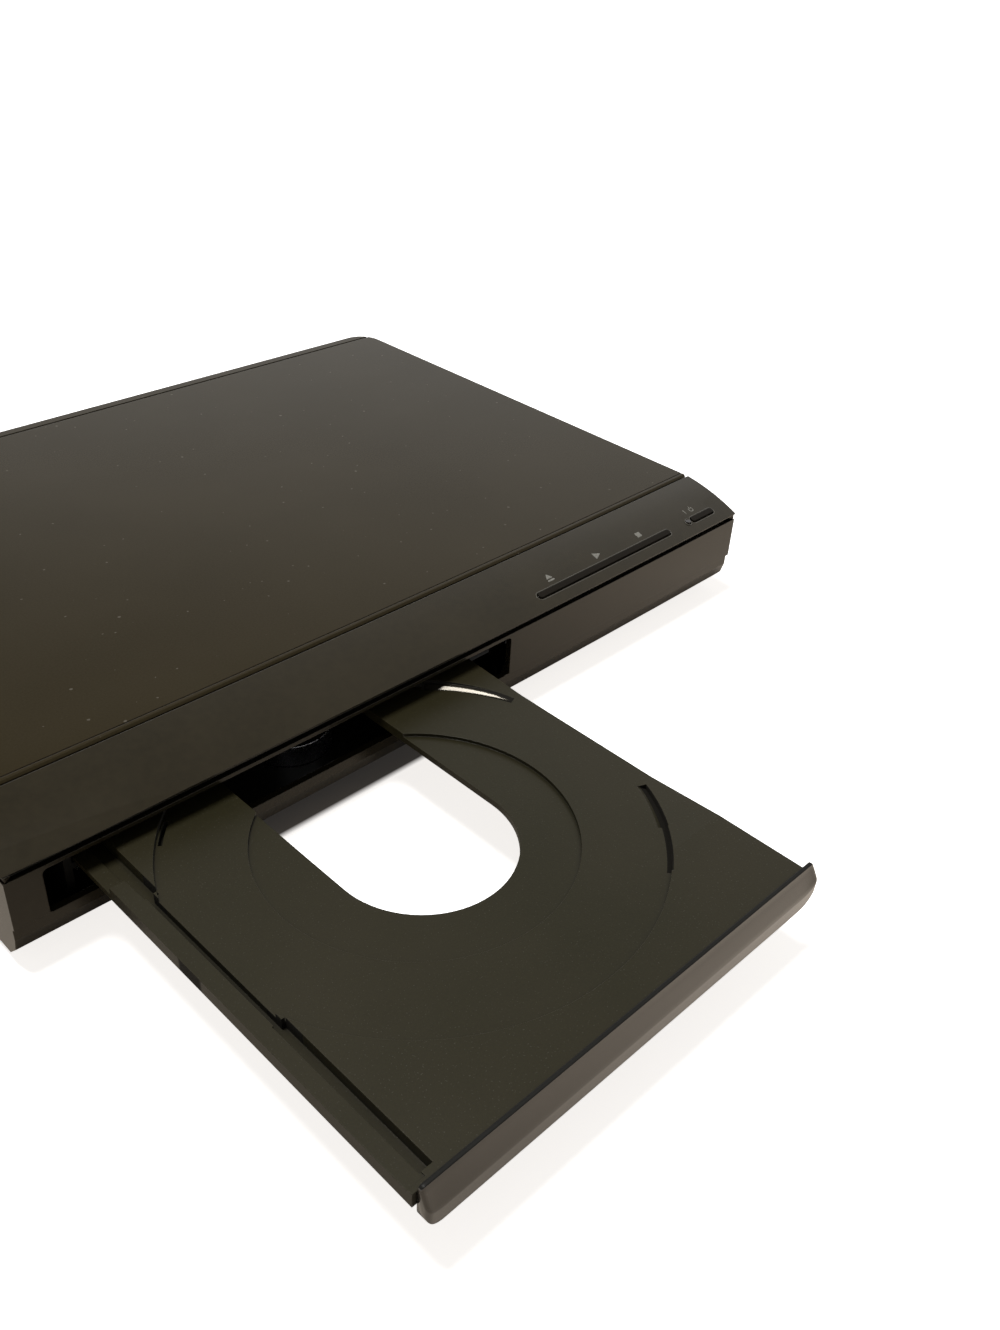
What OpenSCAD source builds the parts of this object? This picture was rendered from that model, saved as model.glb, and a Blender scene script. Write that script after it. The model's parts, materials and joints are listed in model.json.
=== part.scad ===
// Compact disc player with its loading tray run out.
// X runs left to right as seen from the front, Y from front to back, Z up from the table.
// Inside the modules depths count from the ends of the front face, and tray parts are
// placed from the tray's centre line.

/* [Body] */
// Width over the side walls
body_w = 270; // [262:1:300]
// Depth from the ends of the front face to the back edge of the cover
body_d = 202; // [200:1:220]
// Height from the table to the top of the cover
body_h = 38.5; // [38.5:0.5:44]
// Height of the gap under the base
foot_h = 4.5; // [4:0.5:6]
// How far the middle of the front bulges forward
front_bow = 1.34; // [0.5:0.01:3]
// Wall of the top cover
cover_t = 1; // [0.8:0.1:1.2]
// Sheet thickness of the base and the rear panel
sheet_t = 1; // [0.8:0.1:1.2]
// Plan radius of the cover's rear corners
corner_r = 9; // [6:0.5:12]

/* [Front panel] */
// Height of the front face from its lower edge to the lip
face_h = 17.3; // [17.3:0.1:18]
// Depth of the sloped strip behind the lip
strip_d = 22; // [20:0.5:24]
// Height that the strip falls from the cover to the lip
strip_drop = 5.9; // [5:0.1:5.9]
// Radius of the strip's convex section
strip_r = 74; // [60:1:100]
// Wall of the front panel
panel_t = 2; // [1.6:0.1:2]
// Width of the tray opening
bay_w = 149; // [142:1:152]
// Height of the tray opening
bay_h = 14.2; // [14:0.1:14.4]
// Width of the key slot
key_w = 2.4; // [2.2:0.1:2.6]
// Travel of each key
key_travel = 0.4; // [0.2:0.1:0.4]
// Share of the width right of the opening that the key bar takes
bar_share = 0.571; // [0.5:0.001:0.6]
// Share of that width that the power key takes
power_share = 0.1035; // [0.08:0.0005:0.12]

/* [Tray] */
// Distance from the left side to the tray's centre line
tray_from_left = 83.4; // [83:0.1:88]
// Depth from the tray's front end to its rear end
tray_len = 166.4; // [160:0.1:168]
// Half width from the centre line to the right edge
tray_half = 61; // [60.6:0.1:61]
// Distance from the centre line to the outside of the left rail
rail_half = 64.4; // [64:0.1:64.4]
// How far the tray's front end stands out in front of the face when open
tray_reach = 114.4; // [112:0.1:115]
// Travel of the tray
tray_travel = 116; // [110:0.5:116]
// Height of the tray's top face over the lower edge of the front face
tray_rise = 10; // [9.8:0.1:10.1]
// Radius of the recess for a 12 cm disc
disc_r = 62.1; // [61:0.1:63]
// Depth of that recess
disc_depth = 1.2; // [0.8:0.1:1.3]
// Radius of the recess for an 8 cm disc
small_r = 40.4; // [40.4:0.1:42]
// Depth of the small recess below the large one
small_depth = 1; // [0.6:0.1:1]
// Half width of the slot for the turntable and the pickup
slot_half = 24; // [23.8:0.1:26]
// Height of the tray's front strip
plate_h = 11; // [10:0.1:12]
// Thickness of the tray's front strip
plate_t = 3.2; // [2.6:0.1:3.2]

/* [Mechanism] */
// Gap left under the pickup unit when it is down
down_gap = 0.81; // [0.81:0.1:3]
// Feed of the pickup from its innermost track to its outermost
feed_travel = 34; // [30:0.5:34]
// Radius of the turntable
table_r = 14.5; // [13:0.5:14.5]
// Module of the rack and the pinion that drives it
rack_m = 1; // [1:1:1]
// Teeth of the rack pinion
pinion_n = 16; // [16:1:16]
// Module of the reduction gears
wheel_m = 0.8; // [0.8:0.1:0.8]
// Teeth of the reduction wheel
wheel_n = 44; // [44:1:44]
// Teeth of the small gear under the belt pulley
small_n = 12; // [12:1:12]
// Clearance of every shaft in its bore
run_gap = 0.05; // [0.03:0.01:0.08]

/* [Rear] */
// How far the socket sleeves stand out of the rear panel
sleeve_out = 6.9; // [6:0.1:9]
// Outer radius of a socket sleeve
sleeve_r = 4.15; // [4.15:0.01:4.15]
// Spacing of the sockets
socket_pitch = 14; // [13:0.5:16]

/* [Hidden] */
$fn = 64;
eps = 0.01;
far = 100;

// Colours
black_gloss = [0.09, 0.08, 0.08];
black_matte = [0.13, 0.12, 0.11];
tray_tone = [0.2, 0.2, 0.17];
steel = [0.62, 0.63, 0.65];
board_green = [0.1, 0.35, 0.16];
white_plastic = [0.85, 0.84, 0.8];
rubber_black = [0.06, 0.06, 0.06];
brass_tone = [0.75, 0.6, 0.3];

// Heights and places that follow from the driving sizes
seat_gap = 0.3;
face_top = body_h - strip_drop;
face_bottom = face_top - face_h;
floor_top = foot_h + sheet_t;
cover_under = body_h - cover_t;
rear_face = body_d - cover_t - 0.4;
rear_out = rear_face + sleeve_out;
plate_front = tray_reach + plate_t;
y_front = (plate_front - rear_out) / 2;
half_w = body_w / 2;
tray_x = tray_from_left - half_w;
tray_top = face_bottom + tray_rise;
bow_r = (half_w * half_w + front_bow * front_bow) / (2 * front_bow);
bow_angle = 2 * asin(half_w / bow_r) + 0.2;

// Bulge of the front at a distance x from the middle
function bow_at(x) = sqrt(bow_r * bow_r - x * x) - (bow_r - front_bow);

// Places a piece by depth behind the ends of the front face
module by_depth() { translate([0, y_front, 0]) children(); }
// Places a piece by its distance from the tray's centre line as well
module on_tray_line() { translate([tray_x, y_front, 0]) children(); }

// Sweeps a (depth, height) profile along the bowed front, clipped to x0..x1
module bowed(x0, x1) {
    intersection() {
        translate([0, bow_r - front_bow, 0]) rotate([0, 0, -90 - bow_angle / 2])
            rotate_extrude(angle = bow_angle, $fn = 3600)
                translate([bow_r, 0]) mirror([1, 0]) children();
        translate([x0, -far, -far]) cube([x1 - x0, 2 * far, 2 * far]);
    }
}

// Rectangle with round corners, from corner to corner
module round_rect(lo, hi, r) {
    translate([lo.x + r, lo.y]) square([hi.x - lo.x - 2 * r, hi.y - lo.y]);
    translate([lo.x, lo.y + r]) square([hi.x - lo.x, hi.y - lo.y - 2 * r]);
    for (x = [lo.x + r, hi.x - r], y = [lo.y + r, hi.y - r]) translate([x, y]) circle(r = r);
}

// Block between two corners
module block(lo, hi) { translate(lo) cube(hi - lo); }

// Turns to the bow's direction at a distance x from the middle
module on_bow(x) { translate([x, -bow_at(x), 0]) rotate([0, 0, asin(x / bow_r)]) children(); }

// Slot outline with round ends
module stadium(len, w) {
    square([len - w, w], center = true);
    for (s = [-1, 1]) translate([s * (len - w) / 2, 0]) circle(r = w / 2);
}

// Pan-head screw, head up, seated at the origin
module pan_screw(head_r = 2.8, shank_r = 1.3, shank_l = 5) {
    difference() {
        cylinder(r = head_r, h = 1.6);
        for (a = [0, 90]) rotate([0, 0, a]) translate([-head_r * 0.6, -0.35, 0.8])
            cube([head_r * 1.2, 0.7, 1]);
    }
    translate([0, 0, -shank_l]) cylinder(r = shank_r, h = shank_l + eps);
}

// ---- Front panel ----------------------------------------------------------------------

chord = sqrt(strip_d * strip_d + strip_drop * strip_drop);
arc_drop = sqrt(strip_r * strip_r - chord * chord / 4);
arc_d = strip_d / 2 + arc_drop * strip_drop / chord;
arc_z = face_top + strip_drop / 2 - arc_drop * strip_d / chord;
// Height of the strip's surface at a depth behind the lip, before the bow
function strip_z(p, inset = 0) = arc_z + sqrt(pow(strip_r - inset, 2) - pow(p - arc_d, 2));

lip_nose = 0.5;
groove = 1.8;
bevel = 0.7;
chin_step = 0.9;
under_face = face_bottom - foot_h;
chin_h = 0.3 * under_face;
chin_fall = 0.361 * under_face;
chin_back = 2;
// Closed section of the panel, drawn inwards by a wall
module panel_section(inset, d_end) {
    drop = inset;
    intersection() {
        polygon([[inset, far], [inset, face_bottom + bevel + drop],
            [chin_step + inset, face_bottom + drop],
            [chin_step + inset, face_bottom - chin_h + drop / 2],
            [chin_back + inset, face_bottom - chin_h - chin_fall + drop / 2],
            [chin_back + face_bottom - chin_h - chin_fall - foot_h + inset, foot_h + drop],
            [d_end, foot_h + drop], [d_end, far]]);
        translate([arc_d, arc_z]) circle(r = strip_r - inset, $fn = 720);
    }
}
seam_lip = 3.5;
module panel_wall_section() {
    difference() {
        panel_section(0, strip_d);
        panel_section(panel_t, strip_d + 1);
        translate([-1, face_top - lip_nose - groove]) square([1 + groove, groove]);
    }
}

key_p = 4.7;
key_gap = 0.3;
bay_right = tray_x + bay_w / 2;
key_room = half_w - bay_right;
bar_len = bar_share * key_room;
power_len = power_share * key_room;
key_mid = bay_right + 0.429 * key_room;
power_x = bay_right + 0.877 * key_room;
lens_x = bay_right + 0.8073 * key_room;
lens_r = 0.95;
board_z = face_top - 5.2;
pcb_t = 1.6;
board_x = [bay_right + 7.1, half_w - 4];
board_d = [3.4, 18.4];
module key_slot(x, len) {
    on_bow(x) translate([0, key_p, board_z]) linear_extrude(far)
        stadium(len + 2 * key_gap, key_w);
}
function bay_x(s) = tray_x + s * bay_w / 2;
lip_drop = 0.3;
facet_len = 30;
facet_back = 6.3;
facet_dip = 0.7;
post_r = 2.5;
board_posts = [board_x[0] + 4, (board_x[0] + board_x[1]) / 2, board_x[1] - 4];
post_d = 15;
module front_panel() {
    rise = strip_z(facet_back) - face_top + facet_dip;
    color(black_gloss) by_depth() difference() {
        union() {
            bowed(-half_w, half_w) panel_wall_section();
            // Lip that the cover's front edge seats on
            bowed(-half_w + cover_t + 0.4, half_w - cover_t - 0.4)
                translate([strip_d - 2, cover_under - seat_gap - 1.2]) square([2 + seam_lip, 1.2]);
            for (s = [-1, 1]) bowed(min(s * half_w, s * (half_w - panel_t)),
                max(s * half_w, s * (half_w - panel_t))) difference() {
                    panel_section(0, strip_d);
                    translate([-1, face_top - lip_nose - groove]) square([1 + groove, groove]);
                }
            for (x = board_posts) translate([x, post_d, foot_h + panel_t - eps])
                cylinder(r = post_r, h = board_z - foot_h - panel_t + eps);
        }
        translate([0, 8, 0]) rotate([90, 0, 0]) linear_extrude(far)
            round_rect([bay_x(-1), face_bottom - lip_drop],
                [bay_x(1), face_bottom - lip_drop + bay_h], 1.4);
        key_slot(key_mid, bar_len);
        key_slot(power_x, power_len);
        translate([lens_x, key_p - bow_at(lens_x), board_z])
            cylinder(r = lens_r + run_gap, h = far);
        for (x = board_posts) translate([x, post_d, board_z - 8]) cylinder(r = 0.9, h = far / 11);
        // Long facet where the lip turns down at the left end
        translate([-half_w, 0, face_top - facet_dip])
            rotate([0, -atan(facet_dip / facet_len), 0]) rotate([atan(rise / facet_back), 0, 0])
                translate([-5, -far / 2, 0]) cube([facet_len * 3, far, 10]);
    }
}

// Key: a cap whose top follows the strip, on a flange under the wall
cap_proud = 0.5;
flange_bottom = board_z + pcb_t + 1.7;
flange_top = flange_bottom + 0.5;
module key_cap(x, len) {
    on_bow(x) {
        intersection() {
            translate([0, key_p, flange_bottom]) linear_extrude(12)
                stadium(len, key_w - 2 * key_gap);
            translate([-len, 0, 0]) rotate([90, 0, 90]) linear_extrude(2 * len)
                translate([arc_d, arc_z]) circle(r = strip_r + cap_proud, $fn = 720);
        }
        block([-len / 2 - 0.8, key_p - 1.9, flange_bottom], [len / 2 + 0.8, key_p + 3.7, flange_top]);
    }
}
switch_x = [key_mid - bar_len / 3, key_mid, key_mid + bar_len / 3, power_x];
module key_bar() { color(black_gloss) by_depth() key_cap(key_mid, bar_len); }
module power_key() { color(black_gloss) by_depth() key_cap(power_x, power_len); }
module power_lens() {
    d = key_p - bow_at(lens_x);
    color(white_plastic) by_depth() translate([lens_x, d, board_z + pcb_t + seat_gap])
        cylinder(r = lens_r, h = strip_z(key_p) + cap_proud - board_z - pcb_t - seat_gap);
}
switch_d = 6.2;
module front_board() {
    color(board_green) by_depth() difference() {
        block([board_x[0], board_d[0], board_z], [board_x[1], board_d[1], board_z + pcb_t]);
        for (x = board_posts) translate([x, post_d, board_z - 1]) cylinder(r = 1.2, h = 4);
    }
}
module key_switches() {
    z = board_z + pcb_t;
    color(black_matte) by_depth()
        for (x = switch_x) {
            block([x - 2.2, switch_d - 2.2, z], [x + 2.2, switch_d + 2.2, z + 0.9]);
            translate([x, switch_d, z]) cylinder(r = 1, h = 1.2);
        }
}
cable_t = 0.3;
cable_w = 14;
module front_cable() {
    top = board_z - cable_t;
    low = deck_board_z + pcb_t + 1.5;
    path = [[6, top], [26, top], [70, top - 4], [main_lo.y - 4, low], [main_lo.y + 5, low]];
    color(white_plastic) by_depth() translate([link_x, 0, 0]) rotate([90, 0, 90])
        linear_extrude(cable_w)
            polygon(concat(path, [for (i = [len(path) - 1:-1:0]) path[i] + [0, cable_t]]));
}

// ---- Shell ----------------------------------------------------------------------------

seam_gap = 1.2;
cover_low = foot_h + 0.5;
cover_chamfer = 0.6;
rear_wrap = 15;
ledge_back = 4;
vent_n = 9;
module cover_plan(inset) {
    front = -10;
    r = corner_r - inset;
    difference() {
        round_rect([-half_w + inset, front - 2 * corner_r], [half_w - inset, body_d - inset], r);
        translate([-half_w - 1, front - 2 * corner_r - 1])
            square([body_w + 2, 2 * corner_r + 1]);
    }
}
module top_cover() {
    color(black_matte) by_depth() difference() {
        translate([0, 0, cover_low]) linear_extrude(body_h - cover_low) cover_plan(0);
        translate([0, 0, cover_low - 1]) linear_extrude(cover_under - cover_low + 1)
            cover_plan(cover_t);
        // Front edge along the seam, with its small chamfer
        bowed(-half_w - 1, half_w + 1) {
            translate([-30, 0]) square([30 + strip_d + seam_gap, far]);
            translate([strip_d + seam_gap, body_h - cover_chamfer])
                polygon([[-1, 0], [0, 0], [cover_chamfer, cover_chamfer], [1, 2], [-1, 2]]);
            // Crease of the hem behind the seam
            translate([strip_d + seam_gap + 1.6, body_h - 0.25]) square([0.35, 1]);
        }
        // Opening for the rear panel
        block([-half_w + rear_wrap, body_d - 2 * corner_r, cover_low - 1],
            [half_w - rear_wrap, body_d + 1, cover_under]);
        // Shallow groove along the back edge
        block([-half_w - 1, body_d - ledge_back - 0.4, body_h - 0.5],
            [half_w + 1, body_d - ledge_back + 0.4, body_h + 1]);
        // Cooling slots in both side walls
        for (s = [-1, 1], i = [0:vent_n - 1])
            translate([s * half_w, body_d * 0.5 + i * 6, body_h * 0.42])
                rotate([0, 90, 0]) linear_extrude(8, center = true)
                    round_rect([-5.5, -1.1], [5.5, 1.1], 1.05);
        for (p = cover_screw_at) translate([p.x, body_d + 1, p.y]) rotate([90, 0, 0])
            cylinder(r = screw_r + 0.2, h = 4);
    }
}
screw_r = 1.3;
cover_screw_at = [for (s = [-1, 1], z = [0.286, 0.805] * body_h) [s * (half_w - rear_wrap + 3), z]];
module cover_screws() {
    color(steel) by_depth() for (p = cover_screw_at) translate([p.x, body_d, p.y])
        rotate([-90, 0, 0]) pan_screw(shank_r = screw_r, shank_l = 4);
}

chassis_half = half_w - cover_t - 0.4;
chassis_front = strip_d + seat_gap;
chassis_back = rear_face - sheet_t - 0.2;
flange_h = 9;
frame_floor = floor_top + 2.5;
deck_board_z = floor_top + 5.5;
boards_x = [tray_x + tray_half + 12.6, half_w - 5];
boards_w = boards_x[1] - boards_x[0];
main_lo = [boards_x[0], 0.475 * body_d];
main_hi = [boards_x[0] + 0.574 * boards_w, body_d - 5];
power_lo = [boards_x[1] - 0.389 * boards_w, 60];
power_hi = [boards_x[1], body_d - 5];
parts_z = deck_board_z + pcb_t;
// Place on a board by the shares of its width and length
function on_main(u, v) = [main_lo.x + u * (main_hi.x - main_lo.x), main_lo.y + v * (main_hi.y - main_lo.y), parts_z];
function on_power(u, v) = [power_lo.x + u * (power_hi.x - power_lo.x), power_lo.y + v * (power_hi.y - power_lo.y), parts_z];
link_x = main_lo.x + 22;
foot_x = half_w - 24;
foot_d = [38, body_d - 22];
lug_x = [tray_x - rail_half - 7, tray_x + tray_half + 7];
lug_d = [40, 150];
function corners_in(lo, hi, e) = [for (x = [lo.x + e, hi.x - e], y = [lo.y + e, hi.y - e]) [x, y]];
board_holes = concat(corners_in(main_lo, main_hi, 4), corners_in(power_lo, power_hi, 4));
module bottom_chassis() {
    color(black_matte) by_depth() difference() {
        union() {
            translate([0, 0, foot_h]) linear_extrude(sheet_t) chassis_plan();
            for (s = [-1, 1]) translate([s * (chassis_half - sheet_t / 2), 0, 0])
                block([-sheet_t / 2, chassis_front, foot_h],
                    [sheet_t / 2, chassis_back - corner_r, foot_h + flange_h]);
            block([-chassis_half, chassis_front, foot_h],
                [chassis_half, chassis_front + sheet_t, foot_h + 2.5]);
            block([-chassis_half + corner_r, chassis_back - sheet_t, foot_h],
                [chassis_half - corner_r, chassis_back, foot_h + 5]);
            for (x = lug_x, d = lug_d) translate([x, d, floor_top - eps])
                cylinder(r = 3.2, h = frame_floor - floor_top + eps);
            for (p = board_holes) translate([p.x, p.y, floor_top - eps])
                cylinder(r = 2.6, h = deck_board_z - floor_top + eps);
        }
        for (x = lug_x, d = lug_d) translate([x, d, foot_h - 1]) cylinder(r = 1.35, h = 20);
        for (p = board_holes) translate([p.x, p.y, floor_top + 1]) cylinder(r = 1, h = 20);
        for (x = [-foot_x, foot_x], d = foot_d) translate([x, d, foot_h - 1])
            cylinder(r = 2.1, h = 4);
        // Cooling slots under the boards
        for (i = [0:6], v = [0.22, 0.56]) translate(on_main(0.08 + i * 0.12, v) - [0, 0, parts_z - foot_h + 1])
            linear_extrude(4) round_rect([0, 0], [2.6, 24], 1.25);
    }
}
module chassis_plan() {
    r = corner_r - 1;
    difference() {
        round_rect([-chassis_half, chassis_front - 2 * r], [chassis_half, chassis_back], r);
        translate([-half_w, chassis_front - 2 * r - 1]) square([body_w, 2 * r + 1]);
    }
}
module feet() {
    color(rubber_black) by_depth() for (x = [-foot_x, foot_x], d = foot_d) translate([x, d, 0])
        rotate_extrude() polygon([[7.1, 0.8], [8.6, 0.8], [9, foot_h], [2, foot_h],
            [2, foot_h + 1.8], [0, foot_h + 1.8], [0, 2], [7.1, 2]]);
}
module foot_pads() {
    color(rubber_black) by_depth() for (x = [-foot_x, foot_x], d = foot_d) translate([x, d, 0])
        cylinder(r = 7, h = 2);
}

rear_half = half_w - 8;
rear_room = cover_under - seat_gap - parts_z;
jack_x = on_main(0.4516, 0).x;
jack_z = [parts_z + 0.244 * rear_room, parts_z + 0.7317 * rear_room];
inlet_x = half_w - rear_wrap - 12;
inlet_z = parts_z + 8.5;
function socket_at(i, row) = [jack_x + (i - 1) * socket_pitch, jack_z[row]];
module socket_grid() {
    for (i = [0:2], row = [0, 1]) translate([socket_at(i, row).x, 0, socket_at(i, row).y])
        children();
}
module rear_panel() {
    color(black_matte) by_depth() difference() {
        block([-rear_half, rear_face - sheet_t, floor_top + 0.1],
            [rear_half, rear_face, cover_under - seat_gap]);
        socket_grid() translate([0, rear_face + 1, 0]) rotate([90, 0, 0])
            cylinder(r = sleeve_r + 0.6, h = 4);
        translate([inlet_x, 0, inlet_z]) block([-10.3, rear_face - 3, -7.3],
            [10.3, rear_face + 1, 7.3]);
        for (p = cover_screw_at) translate([p.x, rear_face + 1, p.y]) rotate([90, 0, 0])
            cylinder(r = screw_r + run_gap, h = 4);
        for (i = [0:13], v = [0.06, 0.55])
            translate([27 - rear_half + i * 7, rear_face + 1, parts_z + v * rear_room])
                rotate([90, 0, 0]) linear_extrude(4) round_rect([0, 0], [2.4, 0.33 * rear_room], 1.15);
    }
}
module av_jacks() {
    color(black_matte) by_depth() difference() {
        block([jack_x - 1.5 * socket_pitch, rear_face - 13, parts_z],
            [jack_x + 1.5 * socket_pitch, rear_face - sheet_t - 0.1, cover_under - 1.3]);
        socket_grid() translate([0, rear_face, 0]) rotate([90, 0, 0])
            cylinder(r = sleeve_r - 0.2 + run_gap, h = 6);
    }
}
sleeve_t = 0.6;
module jack_sleeves() {
    color(steel) by_depth() socket_grid() translate([0, rear_out, 0]) rotate([90, 0, 0])
        difference() {
            union() {
                cylinder(r = sleeve_r, h = sleeve_out);
                cylinder(r = sleeve_r - 0.2, h = sleeve_out + 5);
            }
            translate([0, 0, -1]) cylinder(r = sleeve_r - sleeve_t, h = sleeve_out + 20);
        }
}
module jack_inserts() {
    color(white_plastic) by_depth() socket_grid() translate([0, rear_out - 0.8, 0])
        rotate([90, 0, 0]) difference() {
            cylinder(r = sleeve_r - sleeve_t - run_gap, h = sleeve_out + 4);
            translate([0, 0, -1]) cylinder(r = 1.7, h = sleeve_out + 1);
        }
}
pin_pitch = 8.6;
module power_inlet() {
    color(black_matte) by_depth() translate([inlet_x, 0, inlet_z]) difference() {
        union() {
            block([-10, rear_face - 17, -7], [10, rear_face, 7]);
            translate([0, rear_face + 1.2, 0]) rotate([90, 0, 0]) linear_extrude(1.2)
                round_rect([-11.5, -8.4], [11.5, 8.4], 2);
        }
        translate([0, rear_face + 2, 0]) rotate([90, 0, 0]) linear_extrude(14) {
            for (s = [-1, 1]) translate([s * pin_pitch / 2, 0]) circle(r = 4.1);
            square([pin_pitch, 7.4], center = true);
        }
        for (s = [-1, 1]) translate([s * pin_pitch / 2, rear_face, 0]) rotate([90, 0, 0])
            cylinder(r = 1.2 + run_gap, h = 20);
    }
}
module inlet_pins() {
    color(brass_tone) by_depth() translate([inlet_x, 0, inlet_z])
        for (s = [-1, 1]) translate([s * pin_pitch / 2, rear_face - 1.5, 0]) rotate([90, 0, 0])
            cylinder(r = 1.2, h = 18);
}

// ---- Tray -----------------------------------------------------------------------------

tray_floor = tray_top - 4;
plate_low = face_bottom + 0.2;
disc_c = tray_reach - 71.4;
skin_t = 1.8;
step_x = -58.1;
ledge_w = 4;
ledge_end = -10.7;
groove_deep = 3.2;
rack_x = -52;
rack_low = tray_floor - 4.5;
drive_d = 22.5;
rack_from = drive_d - 6 - tray_travel - 4;
rack_to = drive_d + 6;
tooth_add = 0.9;
tooth_ded = 1.15;
press_angle = 25;
tooth_play = 0.1;

// Rack tooth row: its gap faces the pinion at the drive depth
module rack_teeth(m, from, to) {
    pitch = PI * m;
    n0 = ceil((from - drive_d) / pitch + 0.5);
    n1 = floor((to - drive_d) / pitch - 0.5);
    half_tip = pitch / 4 - tooth_play / 2 - tooth_add * m * tan(press_angle);
    half_root = pitch / 4 - tooth_play / 2 + tooth_ded * m * tan(press_angle);
    for (i = [n0:n1]) translate([0, drive_d + (i + 0.5) * pitch])
        polygon([[-tooth_ded * m - 0.5, -half_root], [-tooth_ded * m, -half_root],
            [tooth_add * m, -half_tip], [tooth_add * m, half_tip],
            [-tooth_ded * m, half_root], [-tooth_ded * m - 0.5, half_root]]);
}
// Arc sunk at the rim of the large recess, from angle a0 to a1, with a drawn section
module rim_arc(a0, a1) {
    translate([0, -disc_c, 0]) rotate([0, 0, a0]) rotate_extrude(angle = a1 - a0, $fn = 360)
        translate([disc_r, tray_top - disc_depth]) children();
}
open_half = 24;
full_half = 46;
slit_from = 22.5;
slit_to = 47;
module tray() {
    front = -tray_reach;
    rear = tray_len - tray_reach;
    color(tray_tone) on_tray_line() difference() {
        union() {
            block([-rail_half, front, tray_floor], [tray_half, rear, tray_top]);
            translate([rack_x, 0, rack_low]) linear_extrude(tray_floor - rack_low + eps)
                rack_teeth(rack_m, rack_from, rack_to);
            block([rack_x - 5.4, rack_from, rack_low],
                [rack_x - tooth_ded * rack_m, rack_to, tray_floor + eps]);
        }
        // Recesses for the two disc sizes, the large one ending at the step on the left
        intersection() {
            translate([0, -disc_c, tray_top - disc_depth]) cylinder(r = disc_r, h = 5, $fn = 180);
            block([step_x, front, 0], [far, far, far]);
        }
        translate([0, -disc_c, tray_top - disc_depth - small_depth])
            cylinder(r = small_r, h = 5, $fn = 180);
        // Slot for the turntable and the pickup, open to the rear
        translate([0, -disc_c - 2, tray_floor - 1]) cylinder(r = slot_half, h = 9, $fn = 120);
        block([-slot_half, -disc_c - 2, tray_floor - 1], [slot_half, rear + 1, tray_top + 1]);
        // Finger arc at the right rear, sloping up to its outer wall
        rim_arc(slit_from, slit_to) polygon([[-1.3, 3], [-1.3, -1.2], [-1, -1.2],
            [1.6, 0.3], [1.8, 0.3], [1.8, 3]]);
        // Finger arc at the right front, sloping down to it, in two widths
        rim_arc(-39, -slit_from - 1) polygon([[-2.1, 0.2], [-2.1, 0], [0.6, -1.5], [0.6, 3], [0, 3]]);
        rim_arc(-54, -38.5) polygon([[-1, 0.2], [-1, 0], [0.4, -0.9], [0.4, 3], [0, 3]]);
        // Corners at the right, falling towards the middle of the edge so that it stays straight
        translate([0, -disc_c, 0]) rotate([90, 0, 90]) linear_extrude(far)
            polygon([[-full_half, tray_top + 1], [-full_half, tray_top],
                [-open_half, tray_top - disc_depth], [open_half, tray_top - disc_depth],
                [full_half, tray_top], [full_half, tray_top + 1]]);
        // Short slot at the left rear
        rim_arc(134, 142) polygon([[-1.7, -2], [-0.6, -2], [-0.6, 1], [-1.7, 1]]);
        // Groove between the disc plate and the rail, wider at both ends
        block([step_x - 2, front + 2.4, tray_top - groove_deep], [step_x, rear + 1, far]);
        block([step_x - 2.4, front + 2.4, tray_top - groove_deep],
            [step_x + 0.9, -disc_c - 24, far]);
        block([step_x - 2.4, -disc_c + 24, tray_top - groove_deep],
            [step_x + 1.4, rear + 1, far]);
        // Rail top, a little lower, and lower still behind the ledge
        block([-rail_half - 1, front + 1.2, tray_top - 0.4], [step_x - 2, far, far]);
        block([-rail_half - 1, ledge_end, tray_top - 2.4], [step_x - 2, far, far]);
        // Pockets that leave an even skin underneath
        difference() {
            block([-rail_half + 1.8, front + 2, tray_floor - 1],
                [tray_half - 1.8, rear - 1.8, tray_top - skin_t - disc_depth]);
            translate([0, -disc_c, 0]) cylinder(r = disc_r + 1.4, h = far, $fn = 180);
            block([-rail_half, -far * 2, 0], [rack_x + 3.4, far, far]);
            block([-slot_half - 1.8, -disc_c, 0], [slot_half + 1.8, far, far]);
            for (x = [-32, 0, 32]) block([x - 0.8, -far * 2, 0], [x + 0.8, far, far]);
        }
    }
}
plate_left = 63.2;
plate_right = 63.4;
module tray_front() {
    back = -tray_reach;
    front = -plate_front;
    top = plate_low + plate_h;
    color(black_gloss) on_tray_line() intersection() {
        // Section, well rounded above and a little below
        translate([-plate_left, 0, 0]) rotate([90, 0, 90]) linear_extrude(plate_left + plate_right)
            difference() {
                union() {
                    round_rect([front, plate_low + 4], [back + 10, top], 2.7);
                    round_rect([front, plate_low], [back + 10, top - 4], 1.5);
                }
                translate([back, 0]) square(far);
            }
        // Front view, with wide lower corners
        translate([0, back + 1, 0]) rotate([90, 0, 0]) linear_extrude(plate_t + 2) {
            round_rect([-plate_left, plate_low], [plate_right, top - 2], 3.6);
            round_rect([-plate_left, plate_low + 4], [plate_right, top], 1.2);
        }
        linear_extrude(far) difference() {
            round_rect([-plate_left, front], [plate_right, back + 10], 2.4);
            translate([-far, back]) square([2 * far, 20]);
        }
    }
}

// ---- Loader ---------------------------------------------------------------------------

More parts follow.
